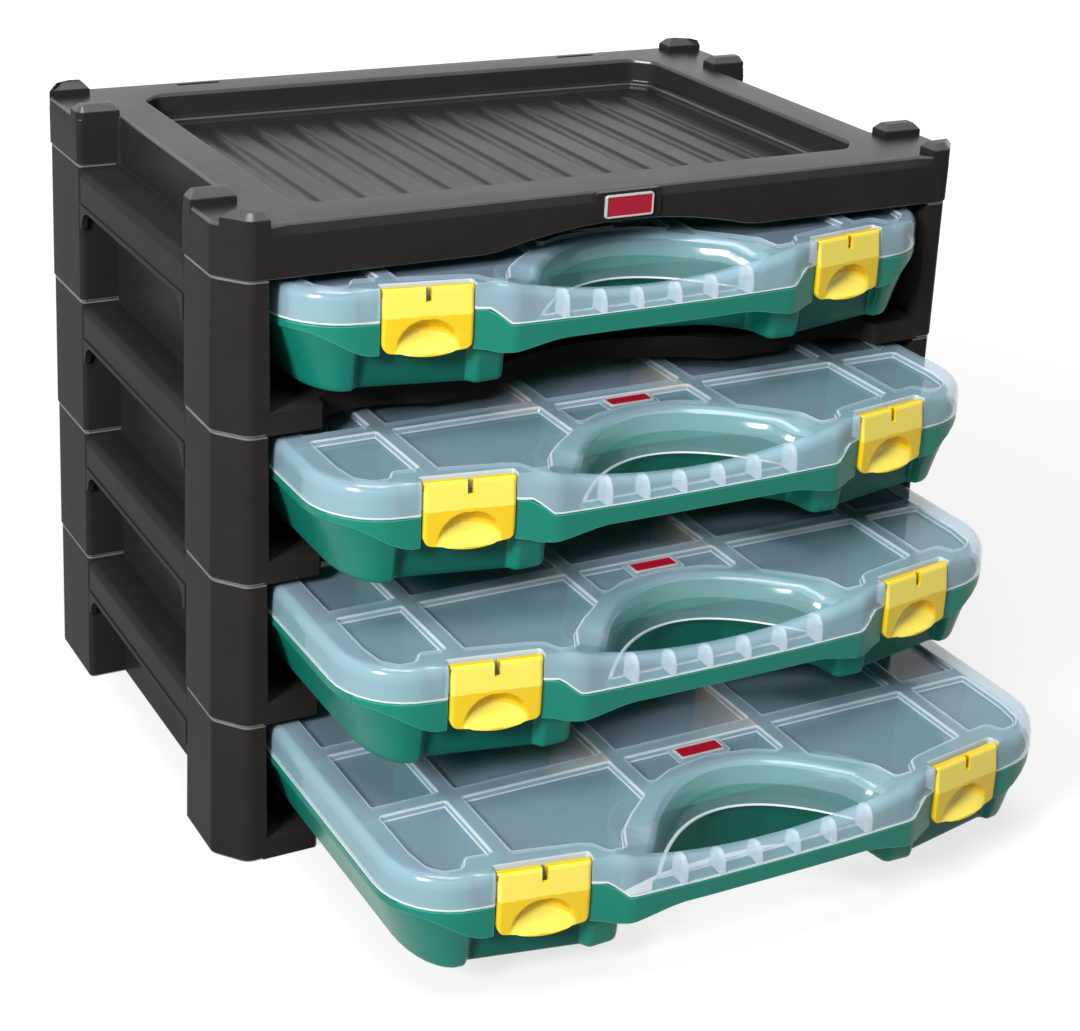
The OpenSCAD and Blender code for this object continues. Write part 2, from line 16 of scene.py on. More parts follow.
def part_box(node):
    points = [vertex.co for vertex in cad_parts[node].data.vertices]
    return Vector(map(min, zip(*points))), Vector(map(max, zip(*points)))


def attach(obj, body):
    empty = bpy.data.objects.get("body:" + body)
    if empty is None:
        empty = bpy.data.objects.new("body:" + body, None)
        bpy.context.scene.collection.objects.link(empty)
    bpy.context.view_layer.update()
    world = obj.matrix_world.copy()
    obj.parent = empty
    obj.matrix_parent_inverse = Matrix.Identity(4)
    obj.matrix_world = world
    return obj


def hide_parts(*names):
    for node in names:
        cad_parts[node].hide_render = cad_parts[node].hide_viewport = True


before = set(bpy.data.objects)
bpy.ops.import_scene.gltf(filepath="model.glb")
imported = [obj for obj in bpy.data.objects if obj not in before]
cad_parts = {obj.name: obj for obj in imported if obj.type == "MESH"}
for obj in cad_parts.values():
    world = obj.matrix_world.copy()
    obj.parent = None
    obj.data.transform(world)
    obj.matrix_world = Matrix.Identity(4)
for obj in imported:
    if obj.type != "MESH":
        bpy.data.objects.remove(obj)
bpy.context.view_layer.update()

# %% [markdown]
# ## Sizes
# All shapes below are written in millimetres, in the CAD's own frame, and scaled to metres at the end.
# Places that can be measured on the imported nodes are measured, so that they follow the CAD.

# %% Measure the cabinet and the cases
MM = 1000.0
tier_lo, tier_hi = (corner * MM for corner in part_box("tier_4"))
half_w, front_y, back_y = tier_hi.x, tier_lo.y, tier_hi.y
ridge_h = 6.5
tier_h = tier_hi.z - ridge_h
post_w, front_post_d, back_post_d, wall = 24.0, 55.5, 65.5, 2.5
post_x = half_w - post_w
rail_y0, rail_y1 = front_y + front_post_d, back_y - back_post_d
handle_out = 10.0
case_place = {}
for k in range(1, 5):
    base_lo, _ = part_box(f"case_{k}_base")
    lid_lo, lid_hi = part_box(f"case_{k}_lid")
    case_place[k] = Vector((0.0, lid_lo.y + handle_out / MM, base_lo.z))
case_half = lid_hi.x * MM
case_back = 261.0
lid_top = 54.0
print("tier height", round(tier_h, 2), "case half width", round(case_half, 2))

# %% [markdown]
# ## Outlines
# An outline is a closed loop of points, counted anticlockwise. Corners get their radius here, and a
# loop can be moved in by a distance, which is how fillets and drafted walls are made: each next loop
# lies a little further in and a little higher. Loops that come from one outline have the same number
# of points, so that two of them always bridge into clean quads.

# %% Outline helpers
def rounded(corners, steps=5):
    """Closed loop through (x, y, radius) corners."""
    loop = []
    for i, (x, y, r) in enumerate(corners):
        here = Vector((x, y))
        if r <= 0:
            loop.append(here)
            continue
        a = (Vector(corners[i - 1][:2]) - here).normalized()
        b = (Vector(corners[(i + 1) % len(corners)][:2]) - here).normalized()
        half = a.angle(b) / 2
        middle = here + (a + b).normalized() * (r / math.sin(half))
        start, end = here + a * (r / math.tan(half)) - middle, here + b * (r / math.tan(half)) - middle
        a0 = math.atan2(start.y, start.x)
        turn = (math.atan2(end.y, end.x) - a0 + math.pi) % (2 * math.pi) - math.pi
        for s in range(steps + 1):
            angle = a0 + turn * s / steps
            loop.append(middle + Vector((math.cos(angle), math.sin(angle))) * r)
    return loop


def both_corners(half):
    """A half outline of (x, y, radius) from the front middle to the back middle, with its mirror image."""
    return list(half) + [(-x, y, r) for x, y, r in reversed(half[1:-1])]


def dense(loop, step):
    """The loop with its long sides divided."""
    out = []
    for i, p in enumerate(loop):
        q = loop[(i + 1) % len(loop)]
        count = max(1, math.ceil((q - p).length / step - 1e-6))
        out += [p.lerp(q, s / count) for s in range(count)]
    return out


def moved_in(loop, distance):
    """The loop moved in by a distance, or by one distance for each point."""
    each = distance if isinstance(distance, (list, tuple)) else [distance] * len(loop)
    out = []
    for i, p in enumerate(loop):
        e1 = (p - loop[i - 1]).normalized()
        e2 = (loop[(i + 1) % len(loop)] - p).normalized()
        n1, n2 = Vector((-e1.y, e1.x)), Vector((-e2.y, e2.x))
        out.append(p + (n1 + n2) * (each[i] / max(0.5, 1 + n1.dot(n2))))
    return out


def inside(point, loop):
    """True if the point lies in the loop."""
    hit = False
    for i, p in enumerate(loop):
        q = loop[i - 1]
        if (p.y > point.y) != (q.y > point.y) and point.x < (q.x - p.x) * (point.y - p.y) / (q.y - p.y) + p.x:
            hit = not hit
    return hit


def plate_loop(w, h, r, x=0.0, y=0.0):
    """Rounded rectangle round a middle."""
    a, b = w / 2, h / 2
    return rounded([(x - a, y - b, r), (x + a, y - b, r), (x + a, y + b, r), (x - a, y + b, r)])


def smooth(t):
    """Eases from 0 to 1, and stays there on both sides."""
    t = min(1.0, max(0.0, t))
    return t * t * (3 - 2 * t)


print("outline helpers ready; a 10 by 6 plate has", len(plate_loop(10, 6, 1)), "points")

# %% [markdown]
# ## From outlines to meshes
# Blender's bmesh lets a script place vertices and faces one by one. A wall is two rings bridged by
# quads. A flat face with holes, such as a lid with its panels, is divided by a constrained Delaunay
# triangulation, which keeps every given edge. Boxes and bars are small closed prisms whose edges are
# bevelled at once, each with the radius that its wall allows, before they join the piece.

# %% Mesh helpers
# Finish 1 is paler: on bevels, chamfers and edges it is a painted highlight, on the red plates their silver
# trim. Finish 2, on the cabinet's seams, is a black with pale flecks: painted glints.
PLAIN, EDGE_HIGHLIGHT_AND_TRIM, SEAM_GLINT = range(3)  # finishes of a piece: its faces, its edges, and the seams of the cabinet


def ring(bm, loop, z):
    """Vertices of a loop at one height, or at a height that depends on the point."""
    return [bm.verts.new((p.x, p.y, z(p) if callable(z) else z)) for p in loop]


def bridge(bm, a, b, finish=PLAIN):
    """Quads between two rings of the same count."""
    for i in range(len(a)):
        j = (i + 1) % len(a)
        bm.faces.new((a[i], a[j], b[j], b[i])).material_index = finish


def skin(bm, rings, finishes=None):
    """Bridges a list of rings in turn."""
    for i in range(len(rings) - 1):
        bridge(bm, rings[i], rings[i + 1], finishes[i] if finishes else PLAIN)


def stack(bm, loop, steps, finishes=None):
    """Rings of one loop, bridged in turn; each step says how far in and at which height."""
    rings = [ring(bm, moved_in(loop, d), z) for d, z in steps]
    skin(bm, rings, finishes)
    return rings


def cap(bm, outer, holes=(), finish=PLAIN):
    """Fills a ring, leaving the holes open."""
    rings = [list(outer)] + [list(h) for h in holes]
    verts = [v for r in rings for v in r]
    edges, start = [], 0
    for r in rings:
        edges += [(start + i, start + (i + 1) % len(r)) for i in range(len(r))]
        start += len(r)
    flat = [v.co.xy for v in verts]
    points, _, faces, came_from, _, _ = delaunay_2d_cdt(flat, edges, [], 1, 1e-5)
    outlines = [[v.co.xy for v in r] for r in rings]
    z = outer[0].co.z
    made = [verts[o[0]] if o else bm.verts.new((p.x, p.y, z)) for p, o in zip(points, came_from)]
    for f in faces:
        middle = sum((points[i] for i in f), Vector((0, 0))) / len(f)
        if inside(middle, outlines[0]) and not any(inside(middle, h) for h in outlines[1:]):
            corner = [made[i] for i in f]
            if len(set(corner)) == len(corner) and not bm.faces.get(corner):
                bm.faces.new(corner).material_index = finish


print("ring helpers ready; finishes", PLAIN, EDGE_HIGHLIGHT_AND_TRIM, SEAM_GLINT)

# %% Parts that join a piece
def join(bm, part):
    """Adds a finished part to a piece."""
    mesh = bpy.data.meshes.new("part")
    bmesh.ops.recalc_face_normals(part, faces=part.faces)
    part.to_mesh(mesh)
    part.free()
    bm.from_mesh(mesh)
    bpy.data.meshes.remove(mesh)


def soften(part, width, steps=2, angle=28):
    """Bevels the sharp edges of a closed part; the new faces take the paler finish, a painted highlight."""
    edges = [e for e in part.edges if e.is_manifold and e.calc_face_angle() > math.radians(angle)]
    made = bmesh.ops.bevel(part, geom=edges, offset=width, offset_type="OFFSET", segments=steps,
                           profile=0.5, affect="EDGES", clamp_overlap=True)
    for f in made["faces"]:
        f.material_index = EDGE_HIGHLIGHT_AND_TRIM


def prism(bm, loop, z0, z1, bevel, steps, turn=None):
    """Closed prism on a loop; turn places it another way up."""
    part = bmesh.new()
    low, high = ring(part, loop, z0), ring(part, loop, z1)
    bridge(part, low, high)
    part.faces.new(list(reversed(low)))
    part.faces.new(high)
    soften(part, bevel, steps)
    if turn:
        part.transform(turn)
    join(bm, part)


def block(bm, lo, hi, bevel, steps=2):
    """Box from its lowest to its highest corner."""
    loop = [Vector(p) for p in ((lo[0], lo[1]), (hi[0], lo[1]), (hi[0], hi[1]), (lo[0], hi[1]))]
    prism(bm, loop, lo[2], hi[2], bevel, steps)


def cup(bm, loop, t, z0, z1, top_t, bevel, steps):
    """Prism that is hollow from below, with walls t thick and a top of top_t."""
    part = bmesh.new()
    outer0, outer1 = ring(part, loop, z0), ring(part, loop, z1)
    hollow = moved_in(loop, t)
    inner0, inner1 = ring(part, hollow, z0), ring(part, hollow, z1 - top_t)
    bridge(part, outer0, outer1)
    part.faces.new(outer1)
    bridge(part, inner1, inner0)
    part.faces.new(inner1)
    bridge(part, inner0, outer0)
    soften(part, bevel, steps)
    join(bm, part)


# Stands a loop of (x, z) points up and runs it along Y
ALONG_Y = Matrix(((1, 0, 0, 0), (0, 0, 1, 0), (0, 1, 0, 0), (0, 0, 0, 1)))
# Stands a loop of (y, z) points up and runs it along X
ALONG_X = Matrix(((0, 0, 1, 0), (1, 0, 0, 0), (0, 1, 0, 0), (0, 0, 0, 1)))
LEFT = Matrix.Scale(-1, 4, (1, 0, 0))


def to_mesh(bm, name, finishes, sharp=38):
    """Scales a piece to metres and turns it into a smooth-shaded mesh."""
    bmesh.ops.remove_doubles(bm, verts=bm.verts, dist=0.002)
    bmesh.ops.recalc_face_normals(bm, faces=bm.faces)
    bmesh.ops.scale(bm, vec=(1 / MM,) * 3, verts=bm.verts)
    mesh = bpy.data.meshes.new(name)
    bm.to_mesh(mesh)
    bm.free()
    for f in finishes:
        mesh.materials.append(f)
    mesh.shade_smooth()
    mesh.set_sharp_from_angle(angle=math.radians(sharp))
    return mesh


def add_object(name, data):
    """A new object in the scene."""
    thing = bpy.data.objects.new(name, data)
    bpy.context.scene.collection.objects.link(thing)
    return thing


def place(mesh, name, body, node, at=(0, 0, 0)):
    """Puts a piece at its place, on its body, instead of its CAD node."""
    piece = add_object(name, mesh)
    piece.location = at
    keep = piece.modifiers.new("even_normals", "WEIGHTED_NORMAL")
    keep.keep_sharp = True
    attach(piece, body)
    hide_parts(node)


print("part helpers ready")

# %% [markdown]
# ## Finishes
# Moulded plastic is never one flat colour: the mould leaves a fine grain, the gloss wanders a little
# over a large face, and the colour drifts between two near tones. Painted images could carry this, but
# they need unwrapped meshes. Noise in object coordinates needs none, so grain and tone are two node
# groups with named sockets, and each plastic below uses them with its own values.

# %% Shared effects as node groups
def new_group(name, inputs, outputs):
    group = bpy.data.node_groups.new(name, "ShaderNodeTree")
    for label, kind, value in inputs:
        socket = group.interface.new_socket(label, in_out="INPUT", socket_type=kind)
        socket.default_value = value
    for label, kind in outputs:
        group.interface.new_socket(label, in_out="OUTPUT", socket_type=kind)
    return group, group.nodes.new("NodeGroupInput"), group.nodes.new("NodeGroupOutput")


def add_node(tree, kind, *first, **values):
    """A node with its properties set and its sockets filled, or linked where the value is a socket."""
    node = tree.nodes.new(kind)
    for key, value in (*values.items(), *enumerate(first)):
        if isinstance(key, str) and hasattr(node, key):
            setattr(node, key, value)
            continue
        socket = node.inputs[key.replace("_", " ") if isinstance(key, str) else key]
        if isinstance(value, bpy.types.NodeSocket):
            tree.links.new(value, socket)
        else:
            socket.default_value = value
    return node


FLOAT, COLOUR = "NodeSocketFloat", "NodeSocketColor"


def mould_grain_group():
    """Fine grain as a height, and the same grain as a small change of gloss."""
    group, given, result = new_group(
        "mould_grain", [("Scale", FLOAT, 900.0), ("Gloss", FLOAT, 0.4), ("Spread", FLOAT, 0.1)],
        [("Height", FLOAT), ("Roughness", FLOAT)])
    where = add_node(group, "ShaderNodeTexCoord").outputs["Object"]
    scale, gloss, change = (given.outputs[label] for label in ("Scale", "Gloss", "Spread"))
    grain = add_node(group, "ShaderNodeTexNoise", Vector=where, Scale=scale, Detail=3.0, Roughness=0.6)
    cloud = add_node(group, "ShaderNodeTexNoise", Vector=where, Scale=14.0, Detail=2.0)
    centre = add_node(group, "ShaderNodeMath", cloud.outputs["Fac"], 0.5, operation="SUBTRACT")
    spread = add_node(group, "ShaderNodeMath", centre.outputs[0], change, operation="MULTIPLY")
    total = add_node(group, "ShaderNodeMath", spread.outputs[0], gloss, operation="ADD")
    group.links.new(grain.outputs["Fac"], result.inputs["Height"])
    group.links.new(total.outputs[0], result.inputs["Roughness"])
    return group


def mould_tone_group():
    """Base colour that drifts between two tones over the face."""
    group, given, result = new_group(
        "mould_tone", [("Colour", COLOUR, (0.5, 0.5, 0.5, 1)), ("Tone", COLOUR, (0.4, 0.4, 0.4, 1)),
                       ("Tone Scale", FLOAT, 30.0)], [("Colour", COLOUR)])
    where = add_node(group, "ShaderNodeTexCoord").outputs["Object"]
    colour, other, scale = (given.outputs[label] for label in ("Colour", "Tone", "Tone Scale"))
    cloud = add_node(group, "ShaderNodeTexNoise", Vector=where, Scale=scale, Detail=4.0, Roughness=0.55)
    tone = add_node(group, "ShaderNodeMix", data_type="RGBA", Factor=cloud.outputs["Fac"], A=colour, B=other)
    group.links.new(tone.outputs["Result"], result.inputs["Colour"])
    return group


mould_grain, mould_tone = mould_grain_group(), mould_tone_group()
print("node groups:", mould_grain.name, "and", mould_tone.name)

# %% [markdown]
# ## Plastics
# Every plastic is one Principled shader. Its colour comes from the tone group, its roughness and bump
# from the mould grain. The bevels are real faces, and they take a paler plastic of their own: a painted
# highlight along the edges. The cabinet's seams take a black with pale flecks, painted glints. The tray's
# tops take a black that reflects more, painted sheen; a latch's upper face is paler, a painted highlight,
# and its bowl and the base's recesses are darker, painted shade. The lid's plastic is clear and milky: its
# alpha lets the green base and the dividers show through, and thick edges, where light collects, are whiter.

# %% Make the plastics
def new_material(name):
    """A material with its node tree and its shader."""
    material = bpy.data.materials.new(name)
    material.use_nodes = True
    return material, material.node_tree, material.node_tree.nodes["Principled BSDF"]


def plastic(name, colour, tone, gloss, spread=0.1, grain=900.0, bump=0.05, alpha=1.0,
            specular=0.5, coat=0.0, ior=1.5):
    """A moulded plastic that drifts between two colours."""
    material, tree, shader = new_material(name)
    paint = add_node(tree, "ShaderNodeGroup", node_tree=mould_tone, Colour=(*colour, 1), Tone=(*tone, 1))
    touch = add_node(tree, "ShaderNodeGroup", node_tree=mould_grain, Scale=grain, Gloss=gloss, Spread=spread)
    relief = add_node(tree, "ShaderNodeBump", Strength=bump, Distance=0.0004, Height=touch.outputs["Height"])
    tree.links.new(paint.outputs["Colour"], shader.inputs["Base Color"])
    tree.links.new(touch.outputs["Roughness"], shader.inputs["Roughness"])
    tree.links.new(relief.outputs["Normal"], shader.inputs["Normal"])
    for label, value in (("IOR", ior), ("Specular IOR Level", specular), ("Coat Weight", coat),
                         ("Coat Roughness", 0.06), ("Alpha", alpha)):
        shader.inputs[label].default_value = value
    return material


BLACK = {"grain": 700, "bump": 0.08}
CLEAR = {"spread": 0.06, "grain": 1200, "bump": 0.015}
black = plastic("black_cabinet", (0.0205, 0.0182, 0.0164), (0.0290, 0.0258, 0.0234),
        gloss=0.27, spread=0.16, **BLACK, ior=1.06)
# Black for the tray's tops: darker but reflecting more, a painted sheen.
black_painted_top_sheen = plastic("black_tray_top_painted_sheen", (0.0125, 0.0108, 0.0096), (0.0190, 0.0165, 0.0148),
        gloss=0.27, spread=0.16, **BLACK, ior=1.29)
# Paler black for bevels: a painted highlight along the edges.
black_lit_edge = plastic("black_edge_painted_highlight", (0.036, 0.034, 0.031), (0.070, 0.066, 0.061),
        gloss=0.28, spread=0.12, **BLACK)
# Black with pale flecks for the seams between tiers: painted glints where the edges catch the light.
painted_seam_glint = plastic("black_seam_painted_glint", (0.030, 0.029, 0.028), (0.28, 0.27, 0.26),
        gloss=0.40, spread=0.12, **BLACK, specular=0.3)
green = plastic("green_base", (0.006, 0.210, 0.148), (0.005, 0.185, 0.130),
        gloss=0.32, bump=0.04, specular=0.22)
# Paler green for bevels: a painted highlight along the edges.
green_lit_edge = plastic("green_edge_painted_highlight", (0.030, 0.340, 0.260), (0.025, 0.310, 0.235), gloss=0.28, bump=0.04)
# Darker green for the recess walls: painted shade.
green_painted_shade = plastic("green_recess_painted_shade", (0.004, 0.120, 0.088), (0.003, 0.095, 0.070),
        gloss=0.36, bump=0.05, specular=0.12)
milky = plastic("milky_lid", (0.55, 0.77, 0.94), (0.49, 0.72, 0.89),
        gloss=0.14, spread=0.06, grain=600, bump=0.004, alpha=0.40, specular=0.8, coat=0.6)
throat_clear = plastic("lid_throat", (0.36, 0.66, 0.70), (0.32, 0.62, 0.66),
        gloss=0.14, **CLEAR, alpha=0.14, specular=1.0, coat=1.0)
panel = plastic("lid_panel", (0.54, 0.70, 0.94), (0.50, 0.66, 0.90),
        gloss=0.1, spread=0.05, grain=1400, bump=0.01, alpha=0.31, specular=1.0, coat=1.0)
throat_soft = plastic("lid_throat_top", (0.46, 0.72, 0.84), (0.41, 0.68, 0.79),
        gloss=0.14, **CLEAR, alpha=0.27, specular=0.9, coat=0.8)
white_edge = plastic("lid_edge", (0.90, 0.95, 0.97), (0.84, 0.91, 0.94), gloss=0.22, **CLEAR, alpha=0.85)
soft_edge = plastic("lid_rib", (0.80, 0.88, 0.97), (0.72, 0.82, 0.92),
        gloss=0.18, **CLEAR, alpha=0.62, specular=0.8)
inner_clear = plastic("lid_inside", (0.55, 0.76, 0.88), (0.50, 0.71, 0.83), gloss=0.2, **CLEAR, alpha=0.10)
fin_clear = plastic("handle_fin", (0.86, 0.92, 0.95), (0.80, 0.88, 0.91), gloss=0.22, **CLEAR, alpha=0.85)
yellow = plastic("yellow_latch", (0.90, 0.63, 0.004), (0.87, 0.57, 0.003),
        gloss=0.26, bump=0.03, specular=0.4)
# Paler yellow for faces that look forward and up, and for bevels: a painted highlight.
yellow_highlight = plastic("latch_painted_highlight", (0.92, 0.77, 0.11), (0.90, 0.73, 0.08), gloss=0.26, bump=0.03)
# Deeper orange for the bowl's faces that look down: painted shade.
yellow_painted_shade = plastic("latch_bowl_painted_shade", (0.80, 0.44, 0.002), (0.76, 0.39, 0.002),
        gloss=0.30, bump=0.03, specular=0.3)
red = plastic("red_plate", (0.42, 0.006, 0.03), (0.36, 0.004, 0.022),
        gloss=0.3, spread=0.06, bump=0.02, specular=0.2)
silver = plastic("plate_rim", (0.50, 0.49, 0.48), (0.44, 0.43, 0.42), gloss=0.3, spread=0.08, bump=0.02)
tan = plastic("tan_divider", (0.92, 0.58, 0.19), (0.84, 0.50, 0.15), gloss=0.45, grain=700, bump=0.06)
# Paler tan for bevels: a painted highlight along the edges.
tan_lit_edge = plastic("divider_edge_painted_highlight", (0.94, 0.66, 0.28), (0.88, 0.58, 0.22), gloss=0.45, grain=700, bump=0.06)
print("plastics:", len(bpy.data.materials))

# %% [markdown]
# ## Posts
# The corner posts are hollow boxes with one cut corner. Each has a deck on top with two ridges, which
# locate the unit above. A bevel would be squeezed at the short corner edges, so the posts are built ring
# by ring: foot and head are rounded in, which leaves a real seam between two tiers.

# %% Posts with stacking ridges
def clipped(loop, limit, sign):
    """The part of a loop behind a line across Y, or before it where the sign is -1."""
    out = []
    for i, p in enumerate(loop):
        q = loop[i - 1]
        dp, dq = sign * (p.y - limit), sign * (q.y - limit)
        if (dp >= 0) != (dq >= 0):
            out.append(q.lerp(p, dq / (dq - dp)))
        if dp >= 0:
            out.append(p)
    return out


# The cut corner of a right-hand post, in front and at the back
front_cut = [(half_w - 13, front_y, 8), (half_w, front_y + 16, 8)]
back_cut = [(half_w, back_y - 12, 7), (half_w - 12, back_y, 7)]


def post_loop(front, corner=3.0):
    """Right-hand post, seen from above; corner is the radius next to the side rails."""
    if front:
        return rounded([(post_x, front_y, 0), *front_cut, (half_w, rail_y0, corner), (post_x, rail_y0, 0)], 6)
    return rounded([(post_x, rail_y1, 0), (half_w, rail_y1, corner), *back_cut, (post_x, back_y, 0)], 6)


def mirrored(loop):
    """The loop on the left-hand side."""
    return [Vector((-p.x, p.y)) for p in reversed(loop)]


def add_ridge(bm, loop, z, root):
    """Low lug with upright sides and broad chamfered upper edges; its foot reaches down by root."""
    part = bmesh.new()
    steps = ((0.0, z - root), (0.1, z + 2.6), (0.4, z + 3.1), (3.0, z + ridge_h - 0.4), (3.8, z + ridge_h))
    # The chamfers take the paler finish, a painted highlight.
    rings = stack(part, loop, steps, [PLAIN, PLAIN, EDGE_HIGHLIGHT_AND_TRIM, EDGE_HIGHLIGHT_AND_TRIM])
    part.faces.new(rings[-1])
    part.faces.new(list(reversed(rings[0])))
    join(bm, part)


def add_ridges(bm, z, inset, root):
    """A ridge at each end of every post; its corners stay wider than its chamfers."""
    ridge_d, wider = 12.5, 4.2
    for front in (True, False):
        seat = moved_in(post_loop(front, inset + wider), inset)
        low, high = min(p.y for p in seat), max(p.y for p in seat)
        for end in (clipped(seat, low + ridge_d, -1), clipped(seat, high - ridge_d, 1)):
            add_ridge(bm, end, z, root)
            add_ridge(bm, mirrored(end), z, root)


def add_post(bm, loop, h):
    """Hollow post whose foot and head are rounded in, which leaves a seam between two tiers."""
    part = bmesh.new()
    profile = ((1.3, 0.0), (0.4, 0.3), (0.0, 1.1), (0.7, h - 1.3), (1.0, h - 0.4), (1.9, h))
    # Foot and head take the seam finish: painted glints on the seam.
    outside = stack(part, loop, profile, [SEAM_GLINT, SEAM_GLINT, PLAIN, SEAM_GLINT, SEAM_GLINT])
    part.faces.new(outside[-1])
    hollow = stack(part, loop, ((wall, 0.0), (wall, h - 3.0)))
    part.faces.new(hollow[-1])
    bridge(part, hollow[0], outside[0])
    join(bm, part)


def add_posts(bm, h):
    for front in (True, False):
        for loop in (post_loop(front), mirrored(post_loop(front))):
            add_post(bm, loop, h)
    add_ridges(bm, h, wall + 0.4, 0.6)


print("post corners:", len(post_loop(True)))

# %% [markdown]
# ## Tiers
# A tier's side is a wall that stands back between the posts, with a channel rail near the top that is
# rounded over and has a bead along its lower edge. In front the shelf has a lip with a hand recess and
# two finger scallops. The four tiers are alike, so they share one mesh.

# %% One tier's mesh
def bow(half, rise):
    """Radius of an arc with this half width and rise."""
    return (half * half + rise * rise) / (2 * rise)


def shelf_loop():
    """Shelf from above: hand recess in the middle, finger scallops beside it, stubs at the posts."""
    lip_y, stub = front_y + 11.5, post_x - 29
    recess, recess_d, scallop, scallop_d = 72, 21.5, 28, 7.0
    half = []
    r = bow(recess, recess_d)
    for s in range(11):
        x = recess * s / 10
        half.append((x, lip_y + recess_d - r + math.sqrt(r * r - x * x)))
    r, middle = bow(scallop, scallop_d), stub - scallop
    for s in range(9):
        x = -scallop + 54 * s / 8
        half.append((middle + x, lip_y + scallop_d - r + math.sqrt(r * r - x * x)))
    half += [(stub, lip_y - 1.5), (stub + 0.8, front_y + 2), (stub + 2.5, front_y), (post_x + 2.2, front_y)]
    half += [(post_x + 2.2, back_y - 1), (0, back_y - 1)]
    return rounded(both_corners([(x, y, 0) for x, y in half]))


rail_low = tier_h - 24


def rail_profile():
    """Channel rail in (x, z), counted from the tier's bottom."""
    x0, x1, z1 = post_x + 1, half_w - 1, tier_h - 3
    return rounded([(x0, z1, 0), (x0, z1 - wall, 0), (x1 - wall, z1 - wall, 2.0), (x1 - wall, rail_low, 0),
                    (x1, rail_low, 0.6), (x1, z1, 4.5)])


def window_bead():
    """Bead along the rail's lower edge in (y, z), turned down into the posts with round corners."""
    z0, r, t = rail_low, 11.0, 2.6
    y0, y1 = rail_y0 - 0.5, rail_y1 + 0.5
    lower = []
    for cy, start in ((y0 + r + t, 180), (y1 - r - t, 90)):
        for s in range(7):
            a = math.radians(start - 15 * s)
            lower.append(Vector((cy + r * math.cos(a), z0 - r + r * math.sin(a))))
    upper = [Vector((y1, z0 - r)), Vector((y1, z0 + t)), Vector((y0, z0 + t))]
    return [Vector((y0, z0 - r))] + lower + upper


def tier_mesh():
    shelf_top, runner_top = 11.7, 20.5
    bm = bmesh.new()
    add_posts(bm, tier_h)
    cup(bm, shelf_loop(), wall, 0.0, shelf_top, wall, bevel=0.9, steps=3)
    block(bm, (-post_x - 1, back_y - wall, 0), (post_x + 1, back_y, tier_h), 0.6)
    for side in (1, -1):
        part = bmesh.new()
        block(part, (post_x, rail_y0 - 1, 0), (post_x + wall, rail_y1 + 1, tier_h), 0.5)
        prism(part, rail_profile(), rail_y0 - 1, rail_y1 + 1, 0.25, 1, turn=ALONG_Y)
        prism(part, window_bead(), half_w - 3.5, half_w - 0.3, 0.5, 2, turn=ALONG_X)
        for x in (post_x - 26, post_x - 46):
            block(part, (x, front_y + 21, shelf_top - 0.5), (x + 3, back_y - wall, runner_top), 0.5)
        if side < 0:
            part.transform(LEFT)
        join(bm, part)
    return to_mesh(bm, "tier", [black, black_lit_edge, painted_seam_glint])


tier = tier_mesh()
for k in range(1, 5):
    place(tier, f"tier_{k}_shell", "cabinet", f"tier_{k}", (0, 0, (4 - k) * tier_h / MM))
print("tier:", len(tier.polygons), "faces, placed four times")

# %% [markdown]
# ## Top tray
# The top unit is a shallow tray: a flat rim, walls that slope into a coved floor, and flutes with round
# ends on the floor. Its front band has a low arch under it and a stepped upper edge. It is built as one
# skin, from the outside over the rim and down to the floor, with the flutes as raised islands. Faces
# that look up get a darker black that reflects more: painted sheen that makes the tops lighter than the
# sides.

# %% The tray's mesh
flute_count, flute_pitch = 13, 24.3


def flute_loop(number, left, right, ends):
    """Outline of one flute; its three kinds of side are moved in by their own distances."""
    x0 = (number - flute_count / 2) * flute_pitch + 1.5 + left
    x1 = (number + 1 - flute_count / 2) * flute_pitch - 1.5 - right
    if number in (0, flute_count - 1):
        ends += 9.0
    y0, y1, r = -101.8 + ends, 108.2 - ends, 2.5
    return rounded([(x0, y0, r), (x1, y0, r), (x1, y1, r), (x0, y1, r)])


def tray_loop():
    """Outside of the tray with its four posts."""
    x = post_x + 0.5
    half = [(0, front_y, 0), *front_cut, (half_w, rail_y0, 3.0), (x, rail_y0, 1.5), (x, rail_y1, 1.5),
            (half_w, rail_y1, 3.0), *back_cut, (0, back_y, 0)]
    return dense(rounded(both_corners(half), 6), 8)


